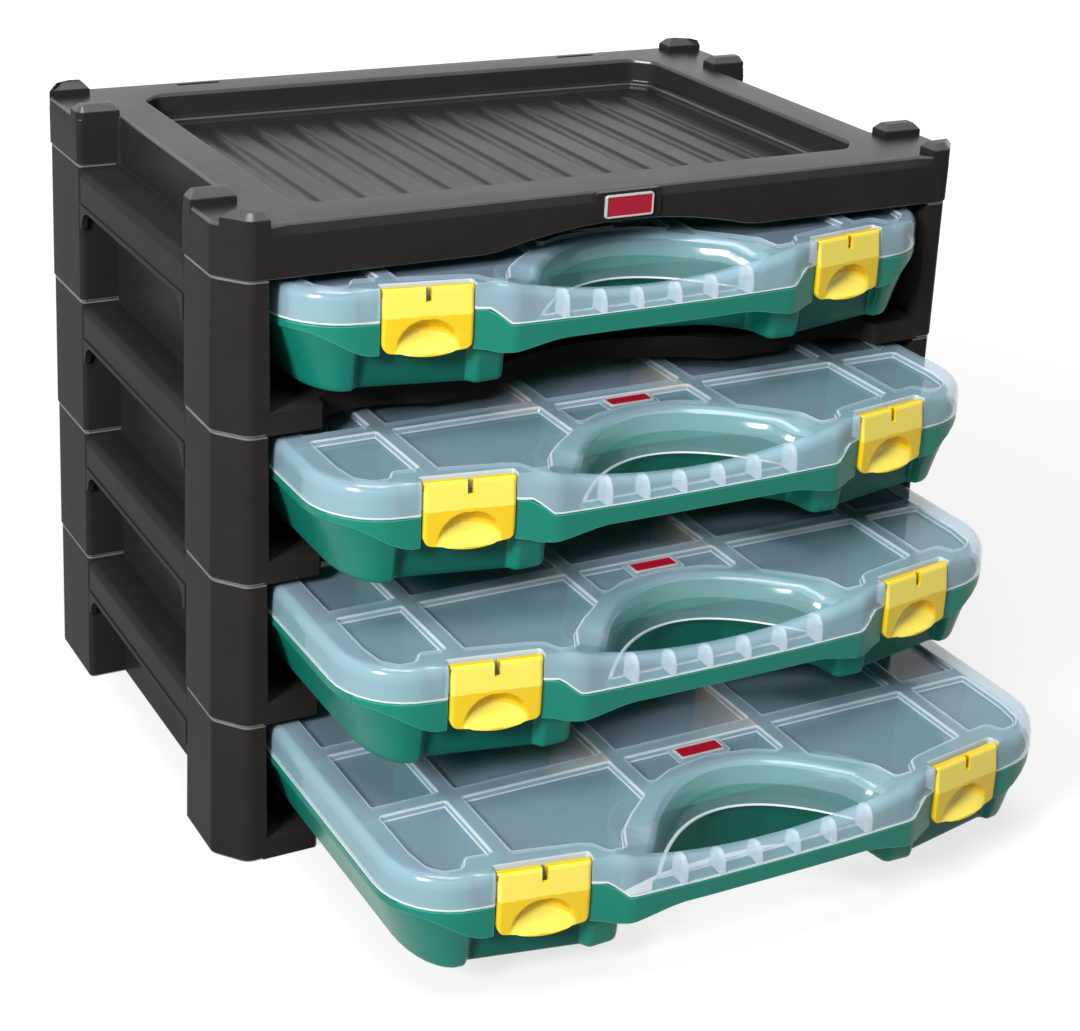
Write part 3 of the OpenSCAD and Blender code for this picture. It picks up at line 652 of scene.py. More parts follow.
def tray_mesh():
    bm = bmesh.new()
    z0, band, deck_t, floor_z, arch = 4 * tier_h, 26.0, 3, 8, 75
    top_sheen_finish = 3
    part = bmesh.new()
    loop = tray_loop()
    front = [smooth((post_x - 1 - abs(p.x)) / 5) if p.y < front_y + 2 else 0.0 for p in loop]
    foot = lambda p: z0 + (10 * (1 - (p.x / arch) ** 2) if p.y < 0 and abs(p.x) < arch else 0.0)
    # How far in at the sides, how far in on the front band, and at which height
    profile = [(wall, wall, foot), (0.5, 0.5, foot), (0, 0, lambda p: foot(p) + 0.5), (0, 0.1, z0 + 20.4),
               (0.2, 0.4, z0 + 21.2), (0.4, 2.8, z0 + 24.8), (1.0, 3.6, z0 + 25.6), (2.0, 4.8, z0 + band)]
    outside = [ring(part, moved_in(loop, [a + (b - a) * f for f in front]), z) for a, b, z in profile]
    # The foot takes the seam finish, painted glints; the stepped upper edge takes the paler finish, a painted
    # highlight.
    skin(part, outside, [PLAIN, SEAM_GLINT] + [PLAIN] * 3 + [EDGE_HIGHLIGHT_AND_TRIM] * 2)
    x, cut, y0, y1, r = 168, 12, front_y + 29.5, back_y - 23, 10
    basin = rounded([(-x, y0 + cut, r), (cut - x, y0, r), (x - cut, y0, r), (x, y0 + cut, r),
                     (x, y1 - cut, r), (x - cut, y1, r), (cut - x, y1, r), (-x, y1 - cut, r)])
    slope = [(0.0, band), (0.5, band - 0.2), (1.0, band - 0.9), (1.3, band - 2.2), (2.6, 13.2), (3.2, 12.2),
             (4.6, 11.6), (5.6, 10.8), (6.2, 9.6), (7.2, 8.4), (9.0, floor_z)]
    # Edges of the slope take the paler finish, a painted highlight.
    slope_finishes = [EDGE_HIGHLIGHT_AND_TRIM] * 3 + [PLAIN] * 3 + [EDGE_HIGHLIGHT_AND_TRIM] + [PLAIN] * 3
    basin_rings = stack(part, basin, [(d, z0 + z) for d, z in slope], slope_finishes)
    slots = [plate_loop(26, 3.4, 1.5, s * 125, back_y - 7) for s in (-1, 1)]
    slot_rings = [ring(part, hole, z0 + band) for hole in slots]
    for hole, top in zip(slots, slot_rings):
        low = ring(part, hole, z0 + band - 6)
        bridge(part, top, low)
        part.faces.new(low)
    cap(part, outside[-1], [basin_rings[0]] + slot_rings)
    flutes = []
    steps = ((0, 0, 0, 0), (0.6, 2.6, 2.5, 0.5), (1.3, 5.4, 6.0, 1.1), (2.0, 7.4, 9.0, 1.35),
             (3.0, 8.6, 11.0, 1.4))
    for number in range(flute_count):
        rings = [ring(part, flute_loop(number, a, b, e), z0 + floor_z + z) for a, b, e, z in steps]
        skin(part, rings)
        part.faces.new(rings[-1])
        flutes.append(rings[0])
    cap(part, basin_rings[-1], flutes)
    under = ring(part, moved_in(loop, wall), z0 + band - deck_t)
    bridge(part, outside[0], under)
    cellar = stack(part, basin, ((-1.5, z0 + band - deck_t), (-1.5, z0 + floor_z - wall)))
    cap(part, under, [cellar[0]])
    cap(part, cellar[1])
    join(bm, part)
    add_ridges(bm, z0 + band, 0.1, ridge_h)
    pad = plate_loop(38, 15, 2.0, 0, z0 + 18.1)
    prism(bm, pad, front_y - 0.8, front_y + 5, 0.4, 2, turn=ALONG_Y)
    bmesh.ops.recalc_face_normals(bm, faces=bm.faces)
    # Faces that look up take the black that reflects more: painted sheen on the tops.
    for f in bm.faces:
        if f.material_index == PLAIN and f.normal.z > 0.5:
            f.material_index = top_sheen_finish
    return to_mesh(bm, "tray", [black, black_lit_edge, painted_seam_glint, black_painted_top_sheen], 30)


tray = tray_mesh()
place(tray, "top_tray_shell", "cabinet", "top_tray")
print("tray:", len(tray.polygons), "faces")

# %% [markdown]
# ## Case outline
# Lid and base share one outline: a shallow handle in front, slanted seats for the two latches, wide
# round front corners and small back corners. The lid's outline also steps in round each latch pocket.

# %% The lid's outline and its parting line
latch_x, latch_y, latch_turn = 121.5, 3.6, math.atan2(7.2, 45.0)
latch_c, latch_s = math.cos(latch_turn), math.sin(latch_turn)
seat_half, pocket_d = 23.0, 6.5
bar_line, seat_line, side_line = 33.5, 41.0, 37.0


def at_latch(x, y):
    """A point of the right-hand latch's own frame, in the case's frame."""
    return latch_x + latch_c * x - latch_s * y, latch_y + latch_s * x + latch_c * y


def case_corners(pocket):
    """Corners of the case, with or without the steps round the latch pockets."""
    inner_r, outer_r = (1.0, 1.0) if pocket else (6, 8)
    half = [(0, -handle_out, 0), (40, -9.8, 0), (80, -8.6, 14), (*at_latch(-seat_half, 0), inner_r)]
    if pocket:
        half += [(*at_latch(s * seat_half, pocket_d), 1.2) for s in (-1, 1)]
    half += [(*at_latch(seat_half, 0), outer_r), (case_half, 10.5, 38), (case_half, case_back, 8),
             (0, case_back, 0)]
    return both_corners(half)


def part_height(p):
    """Height of the line where the lid meets the base."""
    x = abs(p.x)
    if p.y > 14 or x > 122:
        return side_line
    if x < 82:
        return bar_line
    return bar_line + (seat_line - bar_line) * min(1.0, (x - 82) / 9)


lid_loop = dense(rounded(case_corners(True), 8), 4.0)
rim_loop = dense(rounded(case_corners(False), 8), 7.0)
print("lid outline:", len(lid_loop), "points; base outline:", len(rim_loop), "points")

# %% [markdown]
# ## Lid
# The lid is a clear shell with sunk panels between double ribs. Round the hand hole it swells into a
# ring whose wall slopes inwards, and in front it dips into the handle bar, which has fins inside. The
# skin is built flat and the dip is pressed into it afterwards, so that the ring flows into the bar.

# %% Panels and hand hole of the lid
def hole_loop(half, peak, y0):
    """Hand hole: a bow behind a straight bar."""
    front = [Vector((-half + 2 * half * s / 20, y0)) for s in range(20)]
    back = []
    for s in range(40):
        x = half * math.cos(math.pi * s / 40)
        back.append(Vector((x, y0 + (peak - y0) * (1 - (x / half) ** 2))))
    return front + back


def anticlockwise(loop):
    """The loop in the direction in which outlines are counted."""
    area = sum(a.cross(b) for a, b in zip(loop, loop[1:] + loop[:1]))
    return loop if area > 0 else list(reversed(loop))


def panel_loops():
    """Outlines of the sunk panels, front row first."""
    middle = [(-40.5, 72.5, 2), (-40.5, 44.5, 4), (-24, 53, 14), (0, 57, 30), (24, 53, 14),
              (40.5, 44.5, 4), (40.5, 72.5, 2)]
    loops = [rounded(list(reversed(middle)), 5)]
    inner = [(47.5, 72.5, 2), (47.5, 38, 3), (62, 26, 14), (72, 16, 14), (77.5, 4, 5), (88, 2.6, 4),
             (92.5, 11.5, 4), (98, 14, 4), (130.5, 21, 2), (130.5, 72.5, 2)]
    outer = [(137.5, 72.5, 2), (137.5, 23, 2), (151, 25, 3), (155.5, 17.5, 3.5), (164.5, 18, 8),
             (171.5, 25, 10), (174, 40, 14), (174, 72.5, 3)]
    for corners in (inner, outer):
        loop = rounded(corners, 5)
        loops += [loop, mirrored(loop)]
    columns = ((-174, -137.5), (-130.5, -47.5), (-40.5, 40.5), (47.5, 130.5), (137.5, 174))
    for y0, y1 in ((79.5, 132.5), (139.5, 192.5), (199.5, 246)):
        for x0, x1 in columns:
            loops.append(plate_loop(x1 - x0, y1 - y0, 2, (x0 + x1) / 2, (y0 + y1) / 2))
    return [anticlockwise(loop) for loop in loops]


def bar_dip(co):
    """Share of the lid's height that is pressed down along the handle bar."""
    return 0.5 * max(0.0, 1 - (co.x / 84) ** 2) * smooth((17 - co.y) / 13)


print("panels:", len(panel_loops()), "hole points:", len(hole_loop(66, 50, 1)))

# %% [markdown]
# ### The lid's skin
# A lid could be cut from a solid with booleans, but these leave long thin faces that shade badly. Rings
# of points along the outline give even quads, and the rolled edge can fade out round a latch pocket.
# The finishes are numbered, so that ribs, edges and the throat of the hand hole catch light differently.

# %% The lid's mesh
MILKY, WHITE, PANEL, FIN, INNER, THROAT, RIB, THROAT_TOP = range(8)
lid_finishes = [milky, white_edge, panel, fin_clear, inner_clear, throat_clear, soft_edge, throat_soft]
skirt_top, lid_roof, lid_t = 47.0, 50.8, 2.2


def from_latch(p):
    """A point in the frame of the nearer latch: along its seat, and behind it."""
    x, y = abs(p.x) - latch_x, p.y - latch_y
    return latch_c * x + latch_s * y, latch_c * y - latch_s * x


def roll_over(p):
    """Share of the rounded upper edge at a point: little round a latch pocket, all of it elsewhere."""
    along, behind = from_latch(p)
    if behind > 9 or abs(along) > 45:
        return 1.0
    return 0.16 + 0.84 * smooth((abs(along) - 24.5) / 9)


def in_pocket(p):
    """True on the walls of a latch pocket."""
    along, behind = from_latch(p)
    return abs(along) < 23.8 and 0.9 < behind < 7.4


def throat_low(p):
    """Lower edge of the hand hole, which is higher at the bar than behind it."""
    return 32.5 if p.y < 3 else 31.2


def lid_mesh():
    bm = bmesh.new()
    ease = [roll_over(p) for p in lid_loop]
    profile = [(lid_t, part_height), (0.5, part_height), (0.0, lambda p: part_height(p) + 0.5),
               (0.05, lambda p: part_height(p) + 1.3), (0.5, skirt_top)]
    for s in range(1, 7):
        a = math.radians(15 * s)
        profile.append((0.5 + 5.0 * (1 - math.cos(a)), skirt_top + (lid_top - skirt_top) * math.sin(a)))
    rings = [ring(bm, moved_in(lid_loop, [d * e for e in ease]), z) for d, z in profile]
    skin(bm, rings, [WHITE] * 3 + [MILKY] * 7)
    for f in bm.faces:
        if in_pocket(f.calc_center_median()):
            f.material_index = RIB
    top_hole, low_hole = hole_loop(66, 50, 0.6), hole_loop(60, 42, 1.8)
    ring_edge, lip = moved_in(top_hole, -3.4), []
    for s in range(10):
        a = math.radians(10 * s)
        drop = 1 - math.cos(a)
        roll = [p.lerp(q, math.sin(a)) for p, q in zip(ring_edge, low_hole)]
        lip.append(ring(bm, roll, lambda p: lid_top - drop * (lid_top - (33.4 if p.y < 3 else 32.2))))
    throat = ring(bm, low_hole, throat_low)
    skin(bm, lip, [MILKY] * 3 + [THROAT_TOP] * 3 + [THROAT] * 3)
    bridge(bm, lip[-1], throat, WHITE)
    panels = []
    for loop in panel_loops():
        steps = ((0, 0), (0.9, -0.1), (1.3, -0.7), (1.5, -2.4), (2.1, -2.9))
        sunk = stack(bm, loop, [(d, lid_top + z) for d, z in steps], [RIB, RIB, MILKY, RIB])
        bm.faces.new(sunk[-1]).material_index = PANEL
        panels.append(sunk[0])
    cap(bm, rings[-1], [lip[0]] + panels)
    under = ring(bm, moved_in(lid_loop, [lid_t * e for e in ease]), lid_roof)
    bridge(bm, rings[0], under, INNER)
    wide = [ring(bm, moved_in(low_hole, -2.0), throat_low), ring(bm, moved_in(top_hole, -2.0), lid_roof)]
    bridge(bm, throat, wide[0], WHITE)
    bridge(bm, wide[0], wide[1], INNER)
    cap(bm, under, [wide[1]], INNER)
    for v in bm.verts:
        if v.co.z > bar_line:
            v.co.z -= (v.co.z - bar_line) * bar_dip(v.co)
    add_fins(bm)
    prism(bm, plate_loop(31, 13.4, 1.6, 0, 65), 51.8, 52.9, 0.3, 1)
    ear = rounded([(case_back - 1, 37.2, 0), (262, 36, 0), (265.5, 32.2, 3.4), (269.3, 34, 3.4),
                   (269.3, 39.5, 3), (case_back - 1, 42, 0)], 4)
    for x in (96.7, 121.3):
        for s in (-1, 1):
            prism(bm, ear, s * x - 3, s * x + 3, 0.4, 1, turn=ALONG_X)
    return to_mesh(bm, "lid", lid_finishes, 50)


def add_fins(bm):
    """Cross ribs inside the handle bar, milky with whiter rims."""
    for x in (-53, -32, -11, 11, 32, 53):
        top = bar_line + (lid_top - bar_line) * (1 - bar_dip(Vector((x, -4, 0)))) - 0.6
        web = [(-9.0, 33.8), (0.9, 33.8), (0.7, top - 3.0), (-0.4, top - 1.0), (-3.4, top - 0.2),
               (-5.8, top - 0.9), (-7.8, top - 3.2), (-8.8, top - 6.5)]
        part = bmesh.new()
        prism(part, [Vector(p) for p in web], x - 1.4, x + 1.4, 0.5, 1, turn=ALONG_X)
        for f in part.faces:
            f.material_index = FIN if abs(f.normal.x) > 0.9 else WHITE
        join(bm, part)


lid = lid_mesh()
for k in case_place:
    place(lid, f"case_{k}_lid_shell", f"case_{k}_lid", f"case_{k}_lid", case_place[k])
print("lid:", len(lid.polygons), "faces")

# %% [markdown]
# ## Base
# The base's wall is drafted: it runs in towards the bottom, as a moulded tray must to leave its mould.
# In front it steps back behind the latches, turns forward into a small boss, and runs round the hand
# recess. Upright plates carry the lid's front line, and a green bar closes the handle from below.

# %% The base's plan and rim
def box_corners(t, u=0.0):
    """Plan of the base's wall; t runs from 0 at the bottom to 1 at the rim, u from there to the top."""
    inset = 5.5 * min(1.0, 10 * u)
    side, front = 174.5 + 12.7 * t - inset, 17 - 7.0 * t + 0.6 * inset
    seat_in, seat_out, boss = 10 - 2 * t, 20.5 - 2 * t, 6 - 3 * t
    half = [(0, 46 + 7 * u, 0), (30 + u, 44.4 + 6 * u, 30), (60 + u, 37 + 5 * u, 25),
            (75 - 2 * u, 23 + 4 * u, 11), (78 - 2 * u, boss, 5), (94, boss - 0.5, 4), (97, seat_in, 2),
            (150.5, seat_out, 2), (153, front, 3)]
    for s in range(1, 9):
        a = math.radians(90 * s / 8)
        half.append((155 + (side - 155) * math.sin(a), front + 36 * (1 - math.cos(a)), 0))
    half += [(side, 251 + 9 * t - inset, 8), (0, 251 + 9 * t - inset, 0)]
    return both_corners(half)


def upright(bm, path, low, high, t, bevel=0.5):
    """Plate that stands along a plan path, t thick to its left, from low to high."""
    part = bmesh.new()
    side = []
    for i, p in enumerate(path):
        along = path[min(i + 1, len(path) - 1)] - path[max(i - 1, 0)]
        side.append(p + Vector((-along.y, along.x)).normalized() * t)
    rows = [[part.verts.new((q.x, q.y, edge(p.x))) for p, q in zip(path, line)]
            for line, edge in ((path, low), (path, high), (side, high), (side, low))]
    for a in range(4):
        for i in range(len(path) - 1):
            part.faces.new((rows[a][i], rows[a][i + 1], rows[(a + 1) % 4][i + 1], rows[(a + 1) % 4][i]))
    for end in (0, -1):
        part.faces.new([row[end] for row in rows])
    bmesh.ops.recalc_face_normals(part, faces=part.faces)
    soften(part, bevel, 2, 35)
    join(bm, part)


def add_rim(bm):
    """Upright rim on which the lid closes: sides and back, front corners, and the handle's front."""
    line = moved_in(rim_loop, 0.3)
    part = bmesh.new()
    stack(part, rim_loop, ((2.4, 32.8), (0.5, 32.8), (0.2, 33.2), (0.2, 36.5), (0.4, 36.7), (2.4, 36.7),
                           (2.4, 32.8)))
    ahead = [f for f in part.faces if f.calc_center_median().y < 30]
    bmesh.ops.delete(part, geom=ahead, context="FACES")
    bmesh.ops.holes_fill(part, edges=[e for e in part.edges if e.is_boundary])
    join(bm, part)
    corner = [Vector(at_latch(23.1, 0.3))] + [p for p in line if p.x > 145.5 and p.y < 40]
    x, y = at_latch(-23.1, 0.3)
    front = [Vector((-x, y)), Vector((x, y))]
    front[1:1] = sorted([p for p in line if abs(p.x) < 98 and p.y < 8], key=lambda p: p.x)
    for s in (1, -1):
        part = bmesh.new()
        upright(part, corner, lambda x: 20.5 + 12.5 * smooth((x - 147) / 33), lambda x: 36.65, 3.0)
        if s < 0:
            part.transform(LEFT)
        join(bm, part)
    edge = lambda x: 24 - 5 * smooth((abs(x) - 50) / 34) + 1.6 * smooth((abs(x) - 91) / 2.5)
    upright(bm, front, edge, lambda x: part_height(Vector((x, 0))) - 0.35, 3.0)
    bar = [p for p in front if abs(p.x) < 68]
    upright(bm, [p + Vector((0, 0.6)) for p in bar], lambda x: 24.2, lambda x: 32.8, 10.6, 1.6)


print("rim follows", len(rim_loop), "points")

# %% The base's walls and mesh
cross_walls = (76.0, 136.0, 196.0)
web_top, web_half, inner_x, outer_x = 49.5, 0.8, 44, 134


def strip_profile(top):
    """Cross wall in (x, z) whose ends follow the drafted side walls."""
    draft = ((2.0, 169.4), (5.0, 172.4), (14.0, 175.8), (36.0, 178.8), (top, 178.8))
    right = [Vector((x, z)) for z, x in draft]
    return right + [Vector((-p.x, p.y)) for p in reversed(right)]


def back_profile(start, reach, top):
    """Wall in (y, z) from a start to the drafted back wall, which it enters by a reach."""
    draft = ((2.0, 246.4), (5.0, 249.0), (14.0, 251.6), (36.0, 252.0), (top, 252.0))
    return [Vector((start, 2.0))] + [Vector((y + reach, z)) for z, y in draft] + [Vector((start, top))]


def add_webs(bm):
    """Fixed walls between the compartments."""
    for s in (-1, 1):
        x = s * inner_x
        block(bm, (x - web_half, 48, 2), (x + web_half, cross_walls[0], web_top), 0.3, 1)
        x = s * outer_x
        prism(bm, back_profile(26, 0.8, web_top), x - web_half, x + web_half, 0.3, 1, turn=ALONG_X)
    for y in cross_walls:
        prism(bm, strip_profile(web_top), y - web_half, y + web_half, 0.3, 1, turn=ALONG_Y)


def base_mesh():
    recess_shade_finish, wall_t = 2, 2.2
    bm = bmesh.new()
    part = bmesh.new()
    # How far in, at which height, and which share of the draft
    levels = [(2.8, 0.0, 0.0), (1.3, 0.5, 0.0), (0.4, 1.6, 0.0), (0.0, 4.0, 0.05), (0.0, 14.0, 0.32),
              (0.0, 26.0, 0.7), (0.0, 34.5, 0.97), (0.2, 36.0, 1.0), (0.4, 36.0, 1.1), (0.6, 48.4, 2.0),
              (1.2, 49.2, 2.0)]
    inside_levels = [(0.0, 49.2, 2.0), (0.2, 36.0, 1.3), (0, 14.0, 0.32), (0, 5.0, 0.05), (0.7, 2.2, 0.0)]
    plan = lambda t, d: moved_in(rounded(box_corners(min(t, 1.0), max(0.0, t - 1.0)), 6), d)
    outside = [ring(part, plan(t, d), z) for d, z, t in levels]
    skin(part, outside)
    cap(part, outside[0])
    part.normal_update()
    inner = [ring(part, plan(t, wall_t + d), z) for d, z, t in inside_levels]
    bridge(part, outside[-1], inner[0])
    skin(part, inner)
    cap(part, inner[-1])
    # Front faces low in the hand recess and behind the latches take the darker green: painted shade.
    for f in part.faces:
        spot, faces_front = f.calc_center_median(), f.normal.y < -0.3
        if faces_front and spot.z < 37 and (abs(spot.x) < 74 or 97.5 < abs(spot.x) < 150):
            f.material_index = recess_shade_finish
    join(bm, part)
    add_rim(bm)
    add_webs(bm)
    knuckle = rounded([(case_back - 2, 32, 0), (264, 32, 2), (269.4, 34.5, 3.6), (268, 39.6, 3.4),
                       (262.5, 38.5, 2), (case_back - 2, 36, 0)], 4)
    for x in (-109, 109):
        prism(bm, knuckle, x - 9, x + 9, 0.4, 1, turn=ALONG_X)
    return to_mesh(bm, "base", [green, green_lit_edge, green_painted_shade], 40)


base = base_mesh()
for k in case_place:
    place(base, f"case_{k}_base_shell", f"case_{k}", f"case_{k}_base", case_place[k])
print("base:", len(base.polygons), "faces")

# %% [markdown]
# ## Latches
# A latch is a thick plate with a slit at the top, and a thumb scoop below: the face drops back along an
# arc and comes forward again to a lip at the bottom edge. The front is a grid of points whose depth
# follows that form, closed by a flat back and a rim.

# %% The latch's mesh
def latch_depth(x, z):
    """How far the front stands out at a place; z counts down from the top."""
    lean = -1.7 * max(0.0, 1 + z / 14.0)
    edges = -0.8 * smooth((abs(x) - 20.8) / 1.8) ** 2 - 0.9 * smooth((z + 1.6) / 1.6) ** 2
    down = (-z - 15.5) / 16.5
    if down <= 0:
        return lean + edges
    down = min(1.0, down)
    reach = 16.0 * math.sqrt(1 - (1 - down) ** 2)
    across = max(0.0, 1 - (x / reach) ** 2)
    bowl = -5.2 * math.sin(math.pi * down ** 0.8) + 2.4 * down ** 3
    return lean + edges + bowl * across ** 0.75


def latch_mesh(mirror):
    bm = bmesh.new()
    nx, nz, half, slit, bowl_shade_finish = 60, 56, 22.4, 1.4, 2
    length, belly, low_r, pin_r = 31.6, 1.6, 5.0, 2.6
    front, back = [], []
    for j in range(nz + 1):
        row_f, row_b = [], []
        for i in range(nx + 1):
            u = -1 + 2 * i / nx
            z = -(length + belly * max(0.0, 1 - (u * half / 14) ** 2)) * j / nz
            low = min(1.0, max(0.0, (-z - length + low_r) / low_r))
            x = u * (half - low_r * (1 - math.sqrt(1 - low * low)) * smooth((abs(u) - 0.5) / 0.4))
            depth = latch_depth(x, z)
            row_f.append(bm.verts.new((x, -1.7 - depth, z)))
            row_b.append(bm.verts.new((x, max(0.3, 0.2 - depth), z)))
        front.append(row_f)
        back.append(row_b)
    for grid in (front, back):
        for j in range(nz):
            for i in range(nx):
                if not (abs(i + 0.5 - nx / 2) < 1.6 and j < 12):
                    bm.faces.new((grid[j][i], grid[j][i + 1], grid[j + 1][i + 1], grid[j + 1][i]))
    back_of = {f: b for rf, rb in zip(front, back) for f, b in zip(rf, rb)}
    for a, b in [e.verts for e in bm.edges if e.is_boundary and all(v in back_of for v in e.verts)]:
        bm.faces.new((a, b, back_of[b], back_of[a]))
    bmesh.ops.delete(bm, geom=[v for v in bm.verts if not v.link_faces], context="VERTS")
    turns = [a * math.pi / 8 for a in range(16)]
    barrel = [Vector((2.8 + pin_r * math.cos(a), -pin_r + pin_r * math.sin(a))) for a in turns]
    for x0, x1 in ((-half, -slit), (slit, half)):
        prism(bm, barrel, x0, x1, 0.3, 1, turn=ALONG_X)
        block(bm, (x0, 0.2, -4.6), (x1, 2.8, -0.6), 0.3, 1)
    bm.transform(Matrix.Translation((latch_x, latch_y, 53.4)) @ Matrix.Rotation(latch_turn, 4, "Z"))
    if mirror:
        bm.transform(LEFT)
    bmesh.ops.recalc_face_normals(bm, faces=bm.faces)
    # Faces that look forward and up take the paler yellow, a painted highlight; bowl faces that look down
    # take the deeper orange, painted shade.
    for f in bm.faces:
        if f.normal.y < -0.2 and f.normal.z > 0.09:
            f.material_index = EDGE_HIGHLIGHT_AND_TRIM
        elif f.normal.y < -0.2 and f.normal.z < -0.3:
            f.material_index = bowl_shade_finish
    name = "latch_left" if mirror else "latch_right"
    return to_mesh(bm, name, [yellow, yellow_highlight, yellow_painted_shade], 45)


latches = {"left": latch_mesh(True), "right": latch_mesh(False)}
for k in case_place:
    for side, mesh in latches.items():
        name = f"case_{k}_latch_{side}"
        place(mesh, name + "_plate", name, name, case_place[k])
print("latch:", len(latches["left"].polygons), "faces")

# %% [markdown]
# ## Plates and dividers
# The small red plates stay bare: a raised rim round a slightly domed field, built as rings that step in
# and up. The loose dividers are plain cut strips that stand between the fixed cross walls. The rearmost
# ones end on a slant, because they follow the drafted back wall.

# %% Red plates and tan dividers
def plate_mesh(name, w, h, t, stand):
    bm = bmesh.new()
    steps = [(0, 0), (0, t * 0.7), (0.3, t), (0.9, t), (1.1, t * 0.75), (1.6, t * 0.72), (3.0, t * 0.85)]
    rings = [ring(bm, plate_loop(w - 2 * d, h - 2 * d, max(0.3, 1.6 - d)), z) for d, z in steps]
    skin(bm, rings, [EDGE_HIGHLIGHT_AND_TRIM] * 4 + [PLAIN] * 2)
    bm.faces.new(rings[0])
    bm.faces.new(rings[-1])
    if stand:
        bm.transform(Matrix.Rotation(math.pi / 2, 4, "X"))
    return to_mesh(bm, name, [red, silver], 40)


def dividers_mesh():
    """Loose tan strips next to the middle, between the fixed cross walls."""
    top, gap = 49.6, 1.1
    bm = bmesh.new()
    for x in (-inner_x, inner_x):
        x0, x1 = x - web_half, x + web_half
        for y0, y1 in zip(cross_walls, cross_walls[1:]):
            block(bm, (x0, y0 + gap, 2.3), (x1, y1 - gap, top), 0.3, 1)
        prism(bm, back_profile(cross_walls[-1] + gap, -0.3, top), x0, x1, 0.3, 1, turn=ALONG_X)
    return to_mesh(bm, "dividers", [tan, tan_lit_edge])


plate_lo, plate_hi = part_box("tray_badge")
plate = plate_mesh("tray_plate", 28, 12, 1.6, True)
place(plate, "tray_plate", "cabinet", "tray_badge",
      (0, plate_hi.y, (plate_lo.z + plate_hi.z) / 2))
label = plate_mesh("lid_plate", 26, 10, 0.9, False)
for k in case_place:
    low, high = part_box(f"case_{k}_badge")
    place(label, f"case_{k}_lid_plate", f"case_{k}_lid", f"case_{k}_badge",
          (0, (low.y + high.y) / 2, low.z - 0.0002))

dividers = dividers_mesh()
for k in case_place:
    place(dividers, f"case_{k}_divider_strips", f"case_{k}", f"case_{k}_dividers",
          case_place[k])
print("plates and dividers done")

# %% [markdown]
# ## Floor and world
# The photograph is a studio shot on white, and the object's shadow fades out on the floor. More light
# would whiten the floor but also bleach the lids. So floor and world glow only for what the camera sees
# directly, in a reflection or through something clear, which Light Path tells apart, while the shadow
# stays and the world gives the object just a little fill.

# %% Floor
def seen_directly(tree):
    """1 for what the camera sees itself, in a reflection or through something clear, and else 0."""
    ray = add_node(tree, "ShaderNodeLightPath").outputs
    seen = ray["Is Camera Ray"]
    for other in ("Is Glossy Ray", "Is Transmission Ray"):
        seen = add_node(tree, "ShaderNodeMath", seen, ray[other], operation="MAXIMUM").outputs[0]
    return seen


def floor_material():
    """Pale floor that reads as white, more so further out, and keeps the shadow."""
    material, tree, shader = new_material("pale_floor")
    shader.inputs["Base Color"].default_value = (0.26, 0.26, 0.26, 1)
    shader.inputs["Roughness"].default_value = 0.9
    shader.inputs["Emission Color"].default_value = (1, 1, 1, 1)
    where = add_node(tree, "ShaderNodeTexCoord").outputs["Object"]
    away = add_node(tree, "ShaderNodeVectorMath", where, operation="LENGTH")
    whiter = add_node(tree, "ShaderNodeMapRange", Value=away.outputs["Value"], From_Min=0.45, From_Max=1.3,
                      To_Min=0.74, To_Max=1.0)
    white = whiter.outputs["Result"]
    glow = add_node(tree, "ShaderNodeMath", seen_directly(tree), white, operation="MULTIPLY")
    tree.links.new(glow.outputs[0], shader.inputs["Emission Strength"])
    return material


floor_mesh = bpy.data.meshes.new("floor")
floor_mesh.from_pydata([(-9, -9, 0), (9, -9, 0), (9, 9, 0), (-9, 9, 0)], [], [(0, 1, 2, 3)])
floor_mesh.materials.append(floor_material())
floor = add_object("floor", floor_mesh)
floor.location.z = -0.0005

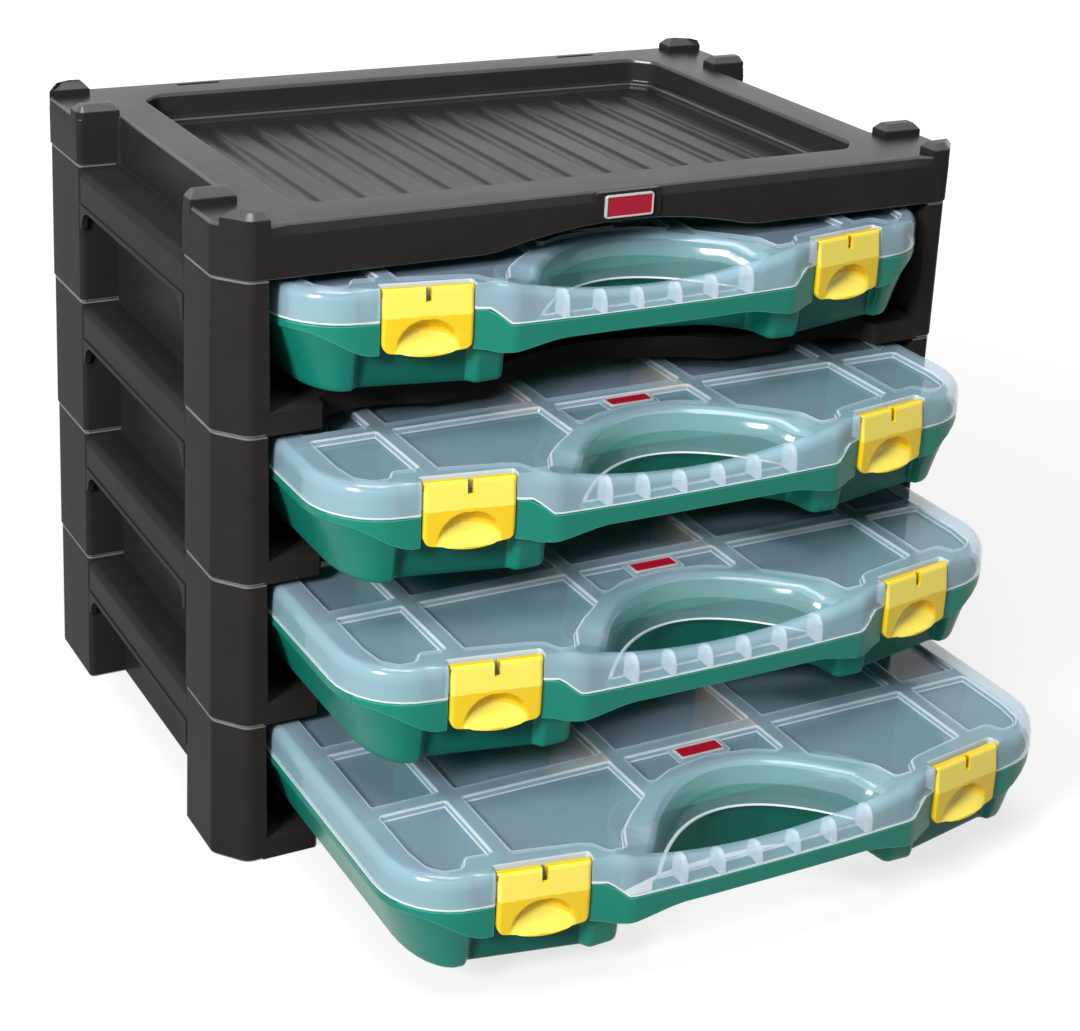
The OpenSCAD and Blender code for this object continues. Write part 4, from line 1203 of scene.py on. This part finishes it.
world = bpy.data.worlds.new("studio")
world.use_nodes = True
sky = world.node_tree
backdrop = sky.nodes["Background"]
backdrop.inputs["Color"].default_value = (1, 1, 1, 1)
level = add_node(sky, "ShaderNodeMapRange", Value=seen_directly(sky), To_Min=0.13, To_Max=1.0)
sky.links.new(level.outputs["Result"], backdrop.inputs["Strength"])
bpy.context.scene.world = world
print("floor and world ready")

# %% [markdown]
# ## Lamps
# Highlights and shadows in the photograph tell where its lamps stood: a small strong one at the left
# front, and a wide soft one above. Area lamps have a size, so they give such soft shadows directly.

# %% Lamps
def lamp(name, at, target, size, power):
    """Area lamp that faces a target."""
    data = bpy.data.lights.new(name, "AREA")
    data.shape = "RECTANGLE"
    data.size, data.size_y = size
    data.energy = power
    thing = add_object(name, data)
    thing.location = at
    thing.rotation_euler = (Vector(target) - Vector(at)).to_track_quat("-Z", "Y").to_euler()


lamp("key", (-1.79, -1.155, 1.28), (0, -0.2, 0.2), (0.5, 0.5), 55)
lamp("top_soft", (-0.5, -0.7, 2.3), (0, -0.15, 0.25), (1.2, 1.0), 34)
print("lamps:", len(bpy.data.lights))

# %% [markdown]
# ## Camera
# A camera could be moved by eye until the picture fits. This one was solved from the cabinet's edges in
# the photograph: angles, place in cabinet widths, focal length in pixels and the middle of the view,
# which becomes a lens shift.

# %% Camera
photo_w, photo_h, middle_x, middle_y = 1080, 1031, 500, 350
focal, azimuth, height_angle, roll = 2174.5, -0.4978, 0.3503, 0.0456
cabinet_w = 0.43
stand = Vector((-1.2854, -2.3995, 1.4693)) * cabinet_w
eye = bpy.data.cameras.new("camera")
eye.sensor_width = 36.0
eye.lens = focal / photo_w * eye.sensor_width
eye.shift_x, eye.shift_y = (photo_w / 2 - middle_x) / photo_w, (middle_y - photo_h / 2) / photo_w
camera = add_object("camera", eye)
level_part = math.cos(height_angle)
back = Vector((math.sin(azimuth) * level_part, -math.cos(azimuth) * level_part, math.sin(height_angle)))
right = (-back).cross(Vector((0, 0, 1))).normalized()
up = right.cross(-back)
c, s = math.cos(roll), math.sin(roll)
right, up = right * c + up * s, up * c - right * s
turn = Matrix((right, up, back)).transposed().to_4x4()
camera.matrix_world = Matrix.Translation(stand) @ turn
bpy.context.scene.camera = camera
bpy.context.scene.view_settings.view_transform = "Standard"
print("camera at", [round(v, 3) for v in stand])
